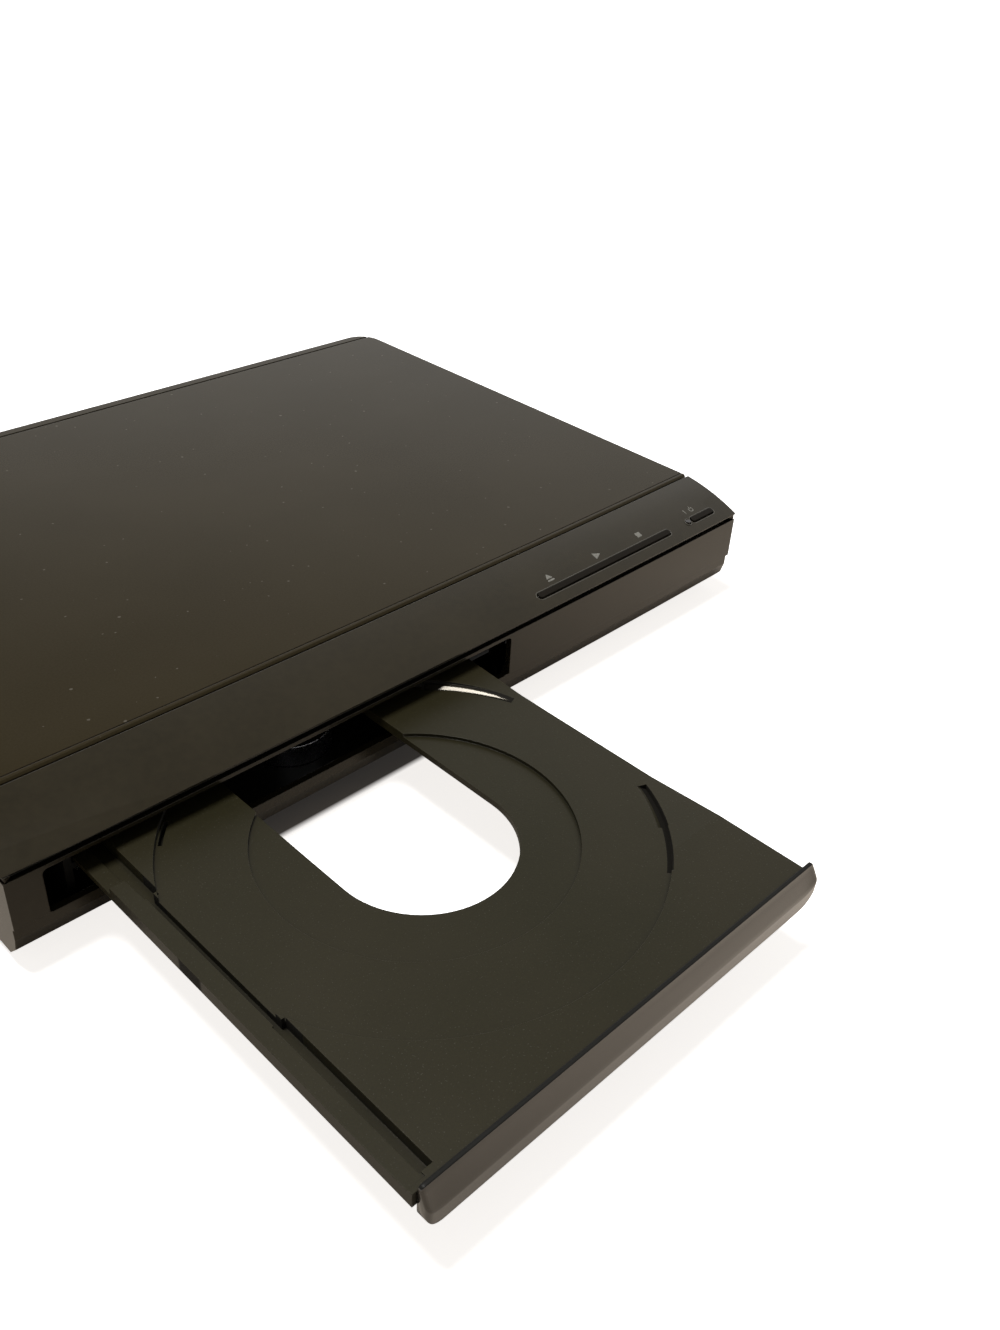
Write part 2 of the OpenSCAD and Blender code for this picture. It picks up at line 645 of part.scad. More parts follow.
rail_gap = 0.6;
wall_in = [-rail_half - rail_gap, tray_half + rail_gap];
wall_t = 2;
frame_t = 1.5;
frame_top = tray_top + 3.7;
ledge_top = tray_floor - seat_gap;
spindle_d = tray_travel - disc_c;
bridge_z = tray_top + 6.7;
bridge_d = [spindle_d - 13, spindle_d + 13];
hinge_d = spindle_d + 87;
hinge_r = 1.5;
frame_rear = hinge_d + 12;
table_z = tray_top + 1.2;
deck_z = table_z - 9.5;
deck_t = 1.2;
damper_h = 2;
holder_z = [deck_z - damper_h - 2.5, deck_z - damper_h];
holder_d = [spindle_d - 20.5, hinge_d + 3];
hinge_z = (holder_z[0] + holder_z[1]) / 2;
tilt_down = asin((holder_z[0] - floor_top - down_gap) / (hinge_d - holder_d[0]));
wheel_x = rack_x + rack_m * pinion_n / 2;
small_x = wheel_x + wheel_m * (wheel_n + small_n) / 2;
motor_x = 10;
motor_r = 12;
shaft_r = 1.5;
cam_d = [46.3, 49];
frame_front = 6;
holder_half = 36.5;
module loader_frame() {
    color(black_matte) on_tray_line() difference() {
        union() {
            block([wall_in[0] - wall_t, frame_front, frame_floor],
                [wall_in[1] + wall_t, frame_rear, frame_floor + frame_t]);
            block([wall_in[0] - wall_t, frame_front, frame_floor], [wall_in[0], frame_rear, frame_top]);
            block([wall_in[1], frame_front, frame_floor], [wall_in[1] + wall_t, frame_rear, frame_top]);
            block([wall_in[0] - 1, frame_rear - wall_t, frame_floor],
                [wall_in[1] + 1, frame_rear, ledge_top]);
            // Ledges that carry the tray, and posts under the clamp bridge
            block([wall_in[0] - 1, frame_front, ledge_top - 1.8], [wall_in[0] + 3, frame_rear, ledge_top]);
            block([wall_in[1] - 3, frame_front, ledge_top - 1.8], [wall_in[1] + 1, frame_rear, ledge_top]);
            block([wall_in[0] - wall_t, bridge_d[0], frame_floor],
                [wall_in[0], bridge_d[1], bridge_z]);
            block([wall_in[1], bridge_d[0], frame_floor],
                [wall_in[1] + wall_t, bridge_d[1], bridge_z]);
            // Screw lugs outside the walls
            for (x = lug_x, d = lug_d) let (lx = x - tray_x, s = lx < 0 ? -1 : 1) {
                translate([lx, d, frame_floor]) cylinder(r = 4, h = 2);
                block([min(lx, lx - s * 6), d - 4, frame_floor],
                    [max(lx, lx - s * 6), d + 4, frame_floor + 2]);
            }
            // Bearings of the pickup unit
            for (s = [-1, 1]) translate([s * (holder_half + 4), hinge_d, 0])
                block([-2.1, -4, frame_floor], [2.1, 4, hinge_z + 3.4]);
            // Guides of the cam slider
            block([-46, cam_d[0] - 1.3, frame_floor], [48, cam_d[0] - seat_gap, frame_floor + 4]);
            for (x = [-31, 37]) block([x - 3, cam_d[1] + seat_gap, frame_floor],
                [x + 3, cam_d[1] + 1.3, frame_floor + 4]);
            // Shafts of the gears
            for (x = [wheel_x, small_x]) translate([x, drive_d, frame_floor])
                cylinder(r = shaft_r, h = tray_floor - 1 - frame_floor);
        }
        block([-holder_half - 1.5, cam_d[1] + 1.6, 0],
            [holder_half + 1.5, hinge_d + 6, frame_floor + frame_t + eps]);
        translate([motor_x, drive_d, 0]) cylinder(r = motor_r + 0.3, h = 20);
        for (s = [-1, 1]) translate([s * (holder_half + 4), hinge_d, hinge_z])
            rotate([0, 90, 0]) cylinder(r = hinge_r + run_gap, h = 10, center = true);
        for (x = lug_x, d = lug_d) translate([x - tray_x, d, frame_floor - 1])
            cylinder(r = 1.5, h = 5);
    }
}
module loader_screws() {
    color(steel) by_depth() for (x = lug_x, d = lug_d) translate([x, d, frame_floor + 2])
        pan_screw(head_r = 3, shank_r = 1.3, shank_l = 4);
}
guide_gap = 0.4;
module tray_guides() {
    z = tray_top + guide_gap;
    color(black_matte) on_tray_line() for (d = [frame_front, 40]) {
        block([wall_in[0], d, z], [wall_in[0] + 4, d + 8, z + 1.6]);
        block([wall_in[1] - 3, d, z], [wall_in[1], d + 8, z + 1.6]);
    }
}
clamp_hole = 12.5;
module clamp_bridge() {
    color(steel) on_tray_line() difference() {
        union() {
            block([wall_in[0] - wall_t, bridge_d[0], bridge_z],
                [wall_in[1] + wall_t, bridge_d[1], bridge_z + 1]);
            for (d = [bridge_d[0], bridge_d[1] - 1])
                block([wall_in[0] + 4, d, bridge_z - 1], [wall_in[1] - 4, d + 1, bridge_z + 0.5]);
        }
        translate([0, spindle_d, bridge_z - 3]) cylinder(r = clamp_hole, h = 9);
        for (x = [-46, 46]) translate([x, spindle_d, bridge_z - 3]) linear_extrude(9)
            round_rect([-9, -6], [9, 6], 3);
    }
}
clamp_low = tray_top + 2.7;
module clamper() {
    color(white_plastic) on_tray_line() translate([0, spindle_d, 0]) rotate_extrude($fn = 96)
        polygon([[8.2, clamp_low], [11.6, clamp_low], [11.6, bridge_z + 1.2],
            [15.5, bridge_z + 1.2], [15.5, bridge_z + 2.4], [0, bridge_z + 2.4],
            [0, clamp_low + 1.9], [8.2, clamp_low + 1.9]]);
}
module clamper_plate() {
    color(steel) on_tray_line() translate([0, spindle_d, bridge_z + 2.4])
        cylinder(r = 9, h = 0.9);
}

// Involute spur gear outline
function inv(a) = tan(a) * 180 / PI - a;
function gear_outline(n, m) =
    let (rp = n * m / 2, rb = rp * cos(press_angle), ra = rp + tooth_add * m,
        rf = rp - tooth_ded * m, r0 = max(rb, rf),
        half = 90 / n - tooth_play / 2 / rp * 180 / PI + inv(press_angle),
        flank = [for (i = [0:3]) let (r = r0 + (ra - r0) * i / 3)
            [r, half - inv(acos(min(1, rb / r)))]])
    [for (t = [0:n - 1]) let (c = t * 360 / n) each concat(
        [[rf * cos(c - flank[0][1]), rf * sin(c - flank[0][1])]],
        [for (f = flank) [f[0] * cos(c - f[1]), f[0] * sin(c - f[1])]],
        [for (i = [3:-1:0]) [flank[i][0] * cos(c + flank[i][1]), flank[i][0] * sin(c + flank[i][1])]],
        [[rf * cos(c + flank[0][1]), rf * sin(c + flank[0][1])]])];
gear_z = frame_floor + frame_t + 0.5;
wheel_t = 2.2;
module drive_gear() {
    color(white_plastic) on_tray_line() translate([wheel_x, drive_d, 0]) difference() {
        union() {
            translate([0, 0, gear_z]) linear_extrude(wheel_t) difference() {
                polygon(gear_outline(wheel_n, wheel_m));
                for (a = [0:60:300]) rotate([0, 0, a]) translate([10.5, 0]) circle(r = 3);
            }
            translate([0, 0, gear_z]) cylinder(r = 5, h = rack_low + 2 - gear_z);
            translate([0, 0, rack_low - 0.4]) linear_extrude(tray_floor - 0.4 - rack_low + 0.4)
                polygon(gear_outline(pinion_n, rack_m));
        }
        translate([0, 0, gear_z - 1]) cylinder(r = shaft_r + run_gap, h = 20);
    }
}
belt_z = tray_floor - 2.4;
belt_t = 1.4;
pulley_r = 8.4;
motor_pulley_r = 2.8;
pulley_h = 3;
module pulley_profile(r) {
    z0 = belt_z - pulley_h / 2;
    z1 = belt_z + pulley_h / 2;
    polygon([[0, z0], [r, z0], [r - 0.9, belt_z - belt_t / 2 - 0.1],
        [r - 0.9, belt_z + belt_t / 2 + 0.1], [r, z1], [0, z1]]);
}
module pulley_gear() {
    color(white_plastic) on_tray_line() translate([small_x, drive_d, 0]) difference() {
        union() {
            rotate([0, 0, 180 / small_n]) translate([0, 0, gear_z]) linear_extrude(wheel_t + 0.6)
                polygon(gear_outline(small_n, wheel_m));
            translate([0, 0, gear_z]) cylinder(r = 3, h = belt_z - gear_z);
            rotate_extrude() pulley_profile(pulley_r);
        }
        translate([0, 0, gear_z - 1]) cylinder(r = shaft_r + run_gap, h = 20);
    }
}
motor_low = floor_top + 2;
motor_top = belt_z - pulley_h / 2 - 0.6;
module loading_motor() {
    color(steel) on_tray_line() translate([motor_x, drive_d, 0]) {
        translate([0, 0, motor_low]) cylinder(r = motor_r, h = motor_top - 0.6 - motor_low);
        translate([0, 0, motor_low]) cylinder(r = 3, h = motor_top - motor_low);
        translate([0, 0, motor_low]) cylinder(r = 1, h = belt_z + pulley_h / 2 - motor_low);
    }
}
module motor_pulley() {
    color(brass_tone) on_tray_line() translate([motor_x, drive_d, 0]) difference() {
        rotate_extrude() pulley_profile(motor_pulley_r);
        translate([0, 0, 10]) cylinder(r = 1 + run_gap, h = 20);
    }
}
// Loop round two pulleys of radius r0 at x0 and r1 at x1
function belt_loop(x0, r0, x1, r1) =
    let (a = acos((r0 - r1) / (x1 - x0)))
    concat([for (i = [0:20]) let (t = a + (360 - 2 * a) * i / 20) [x0 + r0 * cos(t), r0 * sin(t)]],
        [for (i = [0:12]) let (t = -a + 2 * a * i / 12) [x1 + r1 * cos(t), r1 * sin(t)]]);
module drive_belt() {
    r = [pulley_r - 0.6, motor_pulley_r - 0.6];
    color(rubber_black) on_tray_line() translate([0, drive_d, belt_z - belt_t / 2])
        linear_extrude(belt_t) difference() {
            polygon(belt_loop(small_x, r[0] + 1, motor_x, r[1] + 1));
            polygon(belt_loop(small_x, r[0], motor_x, r[1]));
        }
}

// ---- Pickup unit, drawn level and tilted down about its rear hinge -----------------------

module tilted() {
    on_tray_line() translate([0, hinge_d, hinge_z]) rotate([tilt_down, 0, 0])
        translate([0, -hinge_d, -hinge_z]) children();
}
damper_at = [for (s = [-1, 1], d = [spindle_d - 14.5, hinge_d - 3]) [s * 32.8, d]];
cam_pin_r = 1.2;
cam_pin_z = tray_floor - 2.6;
cam_pin_x = [-20, 20];
module traverse_holder() {
    color(black_matte) tilted() {
        difference() {
            block([-holder_half, holder_d[0], holder_z[0]], [holder_half, holder_d[1], holder_z[1]]);
            block([-29.5, spindle_d - 7, 0], [29.5, hinge_d - 7.5, far]);
        }
        for (s = [-1, 1]) translate([s * holder_half - (s > 0 ? 1 : 0), hinge_d, hinge_z])
            rotate([0, 90, 0]) translate([0, 0, s < 0 ? -5.5 : 0]) cylinder(r = hinge_r, h = 6.5);
        for (x = cam_pin_x) {
            block([x - 2.2, holder_d[0], holder_z[0]], [x + 2.2, holder_d[0] + 2.4, cam_pin_z + 1.7]);
            translate([x, holder_d[0] + 1, cam_pin_z]) rotate([90, 0, 0])
                cylinder(r = cam_pin_r, h = holder_d[0] + 1 - cam_d[0] - 0.2);
        }
        for (p = damper_at) translate([p.x, p.y, holder_z[0] + 1])
            cylinder(r = 1.2, h = deck_z + deck_t + 0.4 - holder_z[0] - 1);
    }
}
module dampers() {
    color(rubber_black) tilted() for (p = damper_at) translate([p.x, p.y, holder_z[1]])
        difference() {
            cylinder(r = 3, h = damper_h);
            translate([0, 0, -1]) cylinder(r = 1.2 + run_gap, h = 5);
        }
}
rod_x = 20;
rod_z = deck_z + 3.3;
rod_r = 1.5;
rod_d = [spindle_d + 11.5, spindle_d + 82.5];
well_d = [spindle_d + 15, spindle_d + 83];
module pickup_deck() {
    color(steel) tilted() difference() {
        union() {
            block([-36.2, spindle_d - 17.4, deck_z], [36.2, hinge_d + 2, deck_z + deck_t]);
            for (x = [-rod_x, rod_x], d = [rod_d[0], rod_d[1] - 1.7])
                block([x - 2.6, d, deck_z], [x + 2.6, d + 1.7, rod_z + 2.2]);
        }
        block([-17.5, well_d[0], 0], [17.5, well_d[1], deck_z + deck_t + eps]);
        translate([0, spindle_d, 0]) cylinder(r = 6, h = far);
        for (x = [-rod_x, rod_x]) translate([x, rod_d[0] - 1, rod_z]) rotate([-90, 0, 0])
            cylinder(r = rod_r + 0.02, h = 80);
        for (p = damper_at) translate([p.x, p.y, 0]) cylinder(r = 1.4, h = far);
    }
}
module guide_rods() {
    color(steel) tilted() for (x = [-rod_x, rod_x]) translate([x, rod_d[0], rod_z])
        rotate([-90, 0, 0]) cylinder(r = rod_r, h = rod_d[1] - rod_d[0]);
}
spin_r = 1;
module spindle_motor() {
    z = deck_z + deck_t;
    color(steel) tilted() translate([0, spindle_d, 0]) difference() {
        union() {
            translate([0, 0, z]) cylinder(r = 13, h = 0.8);
            translate([0, 0, z]) cylinder(r = 8.5, h = 4);
            translate([0, 0, holder_z[0]]) cylinder(r = 2.5, h = z + 4.6 - holder_z[0]);
        }
        translate([0, 0, 0]) cylinder(r = spin_r + run_gap, h = far);
    }
}
hub_r = 7.4;
module turntable() {
    z = deck_z + deck_t;
    color(black_matte) tilted() translate([0, spindle_d, 0]) rotate_extrude($fn = 96)
        polygon([[0, holder_z[0] + 0.4], [spin_r, holder_z[0] + 0.4], [spin_r, z + 5.2],
            [10.2, z + 5.2], [10.2, z + 1.2], [11, z + 1.2], [11, z + 6.2],
            [table_r - 0.6, z + 6.2], [table_r, z + 6.8], [table_r, table_z],
            [hub_r, table_z], [hub_r, table_z + 1.3], [hub_r - 1, table_z + 2],
            [0, table_z + 2]]);
}
module turntable_pad() {
    color(rubber_black) tilted() translate([0, spindle_d, table_z]) difference() {
        cylinder(r = table_r - 0.4, h = 0.25);
        translate([0, 0, -1]) cylinder(r = table_r - 3.4, h = 3);
    }
}
sled_d = [spindle_d + 14, spindle_d + 45];
lens_d = spindle_d + 24;
sled_top = deck_z + 5.2;
screw_x = 24;
sled_motor_r = 0.3826 * (deck_z - floor_top);
screw_z = deck_z - 0.4 - sled_motor_r;
screw_rad = 1.5;
screw_d = [spindle_d + 15, spindle_d + 62];
module pickup_body() {
    color(black_matte) tilted() difference() {
        union() {
            block([-22.3, sled_d[0], deck_z + deck_t + 0.4], [22.3, sled_d[1], sled_top]);
            block([-16, sled_d[0] + 2.5, holder_z[0] + 1], [16, sled_d[1] - 2, sled_top - 1]);
            translate([0, lens_d, sled_top - 1]) cylinder(r = 6.5, h = 2.2);
            block([-12, lens_d + 9, sled_top - 1], [12, sled_d[1] - 3, sled_top + 1]);
            block([12, sled_d[0] + 5, screw_z - 2.5],
                [screw_x + 3, sled_d[0] + 11, deck_z - 1.4]);
        }
        translate([0, lens_d, sled_top - 1.2]) cylinder(r = 3, h = 9);
        for (x = [-rod_x, rod_x]) translate([x, 0, rod_z]) rotate([-90, 0, 0])
            cylinder(r = rod_r + run_gap, h = 400);
        translate([screw_x, 0, screw_z]) rotate([-90, 0, 0])
            cylinder(r = screw_rad + 0.08, h = 400);
    }
}
module pickup_lens() {
    color([0.5, 0.6, 0.75]) tilted() translate([0, lens_d, 0]) intersection() {
        translate([0, 0, sled_top - 1.2]) cylinder(r = 3, h = 4);
        translate([0, 0, sled_top - 7.4]) sphere(r = 9.2, $fn = 96);
    }
}
module sled_motor() {
    end = spindle_d + 76;
    color(steel) tilted() difference() {
        union() {
            translate([screw_x, screw_d[1], screw_z]) rotate([-90, 0, 0])
                cylinder(r = sled_motor_r, h = end - screw_d[1]);
            block([screw_x - 4, screw_d[0] - 2, deck_z - 1], [screw_x + 4, end, deck_z]);
            block([screw_x - 3, screw_d[0] - 2, screw_z - 2],
                [screw_x + 3, screw_d[0] - 0.4, deck_z]);
            block([screw_x - 3, screw_d[1] + 2, screw_z], [screw_x + 3, end - 2, deck_z]);
        }
        translate([screw_x, screw_d[0] - 5, screw_z]) rotate([-90, 0, 0])
            cylinder(r = spin_r + run_gap, h = 60);
    }
}
module lead_screw() {
    color(steel) tilted() translate([screw_x, screw_d[0] - 1.6, screw_z]) rotate([-90, 0, 0]) {
        cylinder(r = spin_r, h = screw_d[1] - screw_d[0] + 6);
        translate([0, 0, 1.6]) cylinder(r = screw_rad, h = screw_d[1] - screw_d[0] - 0.4);
    }
}
// Height of a cam pin's centre at a tilt, at the slider's middle depth
cam_mid = (cam_d[0] + cam_d[1]) / 2;
function pin_height(t) = hinge_z + (cam_mid - hinge_d) * sin(t) + (cam_pin_z - hinge_z) * cos(t);
cam_travel = 16;
cam_play = 0.25;
module cam_slider() {
    low = pin_height(tilt_down);
    rise = pin_height(0) - low;
    slope = atan(rise / cam_travel);
    len = sqrt(rise * rise + cam_travel * cam_travel);
    color(white_plastic) on_tray_line() difference() {
        block([-41, cam_d[0], frame_floor + frame_t + 0.2], [29, cam_d[1], cam_pin_z + 2.2]);
        for (x = cam_pin_x) translate([x, cam_d[1] + 1, low]) rotate([90, 0, 0])
            linear_extrude(6) rotate([0, 0, 180 - slope]) {
                circle(r = cam_pin_r + cam_play);
                translate([len, 0]) circle(r = cam_pin_r + cam_play);
                translate([0, -cam_pin_r - cam_play]) square([len, 2 * (cam_pin_r + cam_play)]);
            }
    }
}

// ---- Electronics ----------------------------------------------------------------------

module board(lo, hi, notch_from) {
    difference() {
        block([lo.x, lo.y, deck_board_z], [hi.x, hi.y, deck_board_z + pcb_t]);
        for (p = corners_in(lo, hi, 4)) translate([p.x, p.y, 0]) cylinder(r = 1.3, h = far);
    }
}
chip_at = on_main(0.4516, 0.4356);
chip_half = 10;
chip_h = 1.4;
module main_board() { color(board_green) by_depth() board(main_lo, main_hi); }
module main_chips() {
    color(black_matte) by_depth() {
        translate(chip_at) block([-chip_half, -chip_half, 0], [chip_half, chip_half, chip_h]);
        for (v = [0.16, 0.67]) translate(on_main(0.1, v)) cube([18, 10, 1.1]);
        for (i = [0:4]) translate(on_main(0.774, 0.2 + i * 0.11)) cylinder(r = 2.5, h = 6.5);
        translate(on_main(0.032, 0.337)) cube([5, 26, 5]);
        translate([link_x - 4, main_lo.y + 2, parts_z]) cube([cable_w + 8, 4.5, chip_h]);
    }
}
fin_h = 7.5;
module chip_heatsink() {
    half = chip_half + 2;
    color(steel) by_depth() translate(chip_at + [0, 0, chip_h]) {
        block([-half, -half, 0], [half, half, 1.6]);
        for (i = [0:6]) block([-half, -half + i * 3.8, 1], [half, -half + i * 3.8 + 1.2, 1.5 + fin_h]);
    }
}
module power_board() { color(board_green) by_depth() board(power_lo, power_hi); }
tall_h = 0.81 * (cover_under - parts_z);
module transformer() {
    half = 0.262 * (power_hi.x - power_lo.x);
    color(brass_tone) by_depth() translate(on_power(0.4286, 0.438)) {
        block([-half, -12, 0], [half, 12, 4]);
        translate([0, 0, 3.9]) cylinder(r = half - 1.5, h = 10);
        block([-half, -5, 13.8], [half, 5, 19]);
        for (s = [-1, 1]) translate([s * (half - 1), 0, 0]) block([-1, -5, 3.9], [1, 5, 14]);
    }
}
module capacitors() {
    color(rubber_black) by_depth() {
        translate(on_power(0.357, 0.642)) cylinder(r = 8, h = tall_h);
        for (u = [0.214, 0.524], v = [0.102, 0.197]) translate(on_power(u, v))
            cylinder(r = 4.4, h = 0.75 * tall_h);
        translate(on_power(0.143, 0.759)) cube([12, 7, 11]);
    }
}
module heatsink() {
    len = 0.3 * (power_hi.y - power_lo.y);
    color(steel) by_depth() translate([power_hi.x - 9, on_power(0, 0.292).y, parts_z]) {
        cube([2, len, tall_h]);
        for (i = [0:5]) translate([1.9, i * (len - 1.6) / 5, 1]) cube([5.1, 1.6, tall_h - 1]);
    }
}
module fuse() {
    color(white_plastic) by_depth() translate([power_hi.x - 7, on_power(0, 0.686).y, parts_z]) {
        translate([0, 0, 3.4]) rotate([-90, 0, 0]) cylinder(r = 2.5, h = 18);
        for (d = [0, 14.6]) block([-2.9, d, 0], [2.9, d + 3.4, 3]);
    }
}

front_panel();
top_cover();
bottom_chassis();
rear_panel();
feet();
foot_pads();
key_bar();
power_key();
power_lens();
front_board();
key_switches();
front_cable();
tray();
tray_front();
loader_frame();
tray_guides();
clamp_bridge();
clamper();
clamper_plate();
traverse_holder();
dampers();
pickup_deck();
spindle_motor();
turntable();
turntable_pad();
guide_rods();
pickup_body();
pickup_lens();
sled_motor();
lead_screw();
cam_slider();
loading_motor();
motor_pulley();
drive_belt();
pulley_gear();
drive_gear();
main_board();
main_chips();
chip_heatsink();
power_board();
transformer();
capacitors();
heatsink();
fuse();
power_inlet();
inlet_pins();
av_jacks();
jack_sleeves();
jack_inserts();
cover_screws();
loader_screws();
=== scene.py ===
# %% [markdown]
# # A disc player with its tray run out
# The player's solids come from its CAD model and are already in place, so this script only dresses
# them: a camera, a floor, soft light, the finishes, and the few small pieces that are better made
# as surfaces than as solids.

# %% Bring in the solids
import json
import math
import bpy
import numpy as np
from mathutils import Matrix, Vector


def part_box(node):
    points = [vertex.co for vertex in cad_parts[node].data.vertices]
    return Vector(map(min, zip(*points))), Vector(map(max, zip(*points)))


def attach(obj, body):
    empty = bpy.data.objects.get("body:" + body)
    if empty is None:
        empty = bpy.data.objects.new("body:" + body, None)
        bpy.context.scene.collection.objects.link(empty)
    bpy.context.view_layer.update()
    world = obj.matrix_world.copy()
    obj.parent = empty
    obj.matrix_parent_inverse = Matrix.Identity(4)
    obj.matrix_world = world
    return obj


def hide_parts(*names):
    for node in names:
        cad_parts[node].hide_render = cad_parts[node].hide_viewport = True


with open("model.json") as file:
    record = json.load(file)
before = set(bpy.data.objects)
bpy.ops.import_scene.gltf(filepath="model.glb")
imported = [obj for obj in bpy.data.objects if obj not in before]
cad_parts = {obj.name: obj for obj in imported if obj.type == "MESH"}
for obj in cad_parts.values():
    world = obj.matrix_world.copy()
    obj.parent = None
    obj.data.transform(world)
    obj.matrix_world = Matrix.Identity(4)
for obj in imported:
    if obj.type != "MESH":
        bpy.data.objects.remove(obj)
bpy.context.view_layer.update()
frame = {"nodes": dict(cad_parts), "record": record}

# %% [markdown]
# ## Where the camera stands
# The camera stands left of the player and above its front, close enough to crop the left side.
# A camera looks down its own -Z with +Y up, so its turn is built from three unit vectors: right,
# up, and backwards. Building them by hand, instead of tracking a target, lets the whole view roll
# a few degrees about the line of sight, as a hand-held camera does. The focal length is known in
# pixels of a frame 1330 high, and the frame's longer side spans the sensor's 36 mm.

# %% Camera
eye = np.array([-0.20357, -0.25529, 0.23104])
aim = np.array([0.02471, -0.04054, 0.0153])
roll = 0.062
focal_px, frame_px, sensor_mm = 1242.9, 1330, 36
ahead = (aim - eye) / np.linalg.norm(aim - eye)
level = np.cross(ahead, [0, 0, 1.0])
level /= np.linalg.norm(level)
above = np.cross(level, ahead)
right = math.cos(roll) * level + math.sin(roll) * above
up = math.cos(roll) * above - math.sin(roll) * level
camera = bpy.data.objects.new("camera", bpy.data.cameras.new("camera"))
bpy.context.scene.collection.objects.link(camera)
turned = np.array([right, up, -ahead]).T
camera.matrix_world = Matrix([(*row, e) for row, e in zip(turned, eye)] + [(0, 0, 0, 1)])
camera.data.sensor_width = sensor_mm
camera.data.lens = focal_px / frame_px * sensor_mm
camera.data.clip_start = 0.01
bpy.context.scene.camera = camera
distance = 1000 * float(np.linalg.norm(aim - eye))
print("lens in mm:", round(camera.data.lens, 2), "distance in mm:", round(distance))

# %% [markdown]
# ## Helpers for node trees
# The room, the floor and every finish are node trees, and most of their nodes do one of five small
# jobs: any node with its settings and inputs in one line, a value carried from one range to
# another, two colours mixed, a sum, and a mask that is 1 between two values. With a function for
# each, a finish reads like a recipe.

# %% Node helpers
def join(tree, value, socket):
    """Links value to the socket if it is a socket, and otherwise sets it there."""
    if isinstance(value, bpy.types.NodeSocket):
        tree.links.new(value, socket)
    else:
        socket.default_value = value


def node(tree, kind, **inputs):
    """One shader node. Lower-case names set its settings, and the others its input sockets."""
    made = tree.nodes.new("ShaderNode" + kind)
    for name, value in inputs.items():
        if name[0].islower():
            setattr(made, name, value)
        else:
            join(tree, value, made.inputs[name.replace("_", " ")])
    return made


def ramp(tree, value, low, high, a=0.0, b=1.0):
    """Carries value from low..high to a..b, held at both ends."""
    return node(tree, "MapRange", Value=value, From_Min=low, From_Max=high, To_Min=a, To_Max=b).outputs[0]


def blend(tree, factor, a, b):
    """Colour a where factor is 0, colour b where it is 1."""
    made = node(tree, "Mix", data_type="RGBA")
    for socket, value in ((0, factor), (6, a), (7, b)):
        join(tree, (*value, 1) if isinstance(value, (tuple, list)) else value, made.inputs[socket])
    return made.outputs[2]


def math2(tree, kind, a, b, **settings):
    """One sum of two values or sockets."""
    made = node(tree, "Math", operation=kind, **settings)
    join(tree, a, made.inputs[0])
    join(tree, b, made.inputs[1])
    return made.outputs[0]


def within(tree, value, low, high, soft):
    """1 inside low..high and 0 outside, easing over soft at both ends: the smaller of two ramps."""
    return math2(tree, "MINIMUM", ramp(tree, value, low - soft, low), ramp(tree, value, high + soft, high))


print("helpers:", [f.__name__ for f in (join, node, ramp, blend, math2, within)])

# %% [markdown]
# ## The room
# A black object shows mostly what it mirrors, so the room matters more than the lamp. For lighting,
# the world is a plain dim white. Where it is seen or mirrored it is a pale room: white walls at the
# horizon, brighter towards the right, and a darker ceiling. That gradient is what makes the cover's
# gloss fade from its far right corner to its near left one. The Light Path node tells these rays
# apart. One wide soft lamp hangs nearly overhead, so the shadow is short and soft.

# %% World and lamp
scene = bpy.context.scene
scene.view_settings.view_transform = "Standard"
scene.world = bpy.data.worlds.new("studio")
scene.world.use_nodes = True
tree = scene.world.node_tree
path = node(tree, "LightPath").outputs
toward = node(tree, "SeparateXYZ", Vector=node(tree, "TexCoord").outputs["Generated"]).outputs
upward = ramp(tree, toward["Z"], 0.34, 0.62, 1.0, 0.27)
sideways = ramp(tree, toward["X"], 0.25, 0.7, 0.0, 0.5)
walls = math2(tree, "ADD", upward, sideways, use_clamp=True)
mirrored = math2(tree, "MAXIMUM", path["Is Glossy Ray"], path["Is Transmission Ray"])
seen = math2(tree, "MAXIMUM", path["Is Camera Ray"], mirrored)
dim_light = 0.15
room = tree.nodes["Background"].inputs
room["Color"].default_value = (1, 1, 1, 1)
join(tree, ramp(tree, seen, 0, 1, dim_light, walls), room["Strength"])

lamp = bpy.data.objects.new("soft_lamp", bpy.data.lights.new("soft_lamp", "AREA"))
lamp.data.shape = "DISK"
lamp.data.size = 0.38
lamp.data.energy = 17.5
place = np.array([-0.26, 0.085, 1.33])
back = place / np.linalg.norm(place)
side = np.cross([0, 0, 1.0], back)
side /= np.linalg.norm(side)
axes = np.array([side, np.cross(back, side), back]).T
lamp.matrix_world = Matrix([(*row, e) for row, e in zip(axes, place)] + [(0, 0, 0, 1)])
scene.collection.objects.link(lamp)
print("lamp at", [round(float(v), 2) for v in place], "width in m:", round(lamp.data.size, 2))
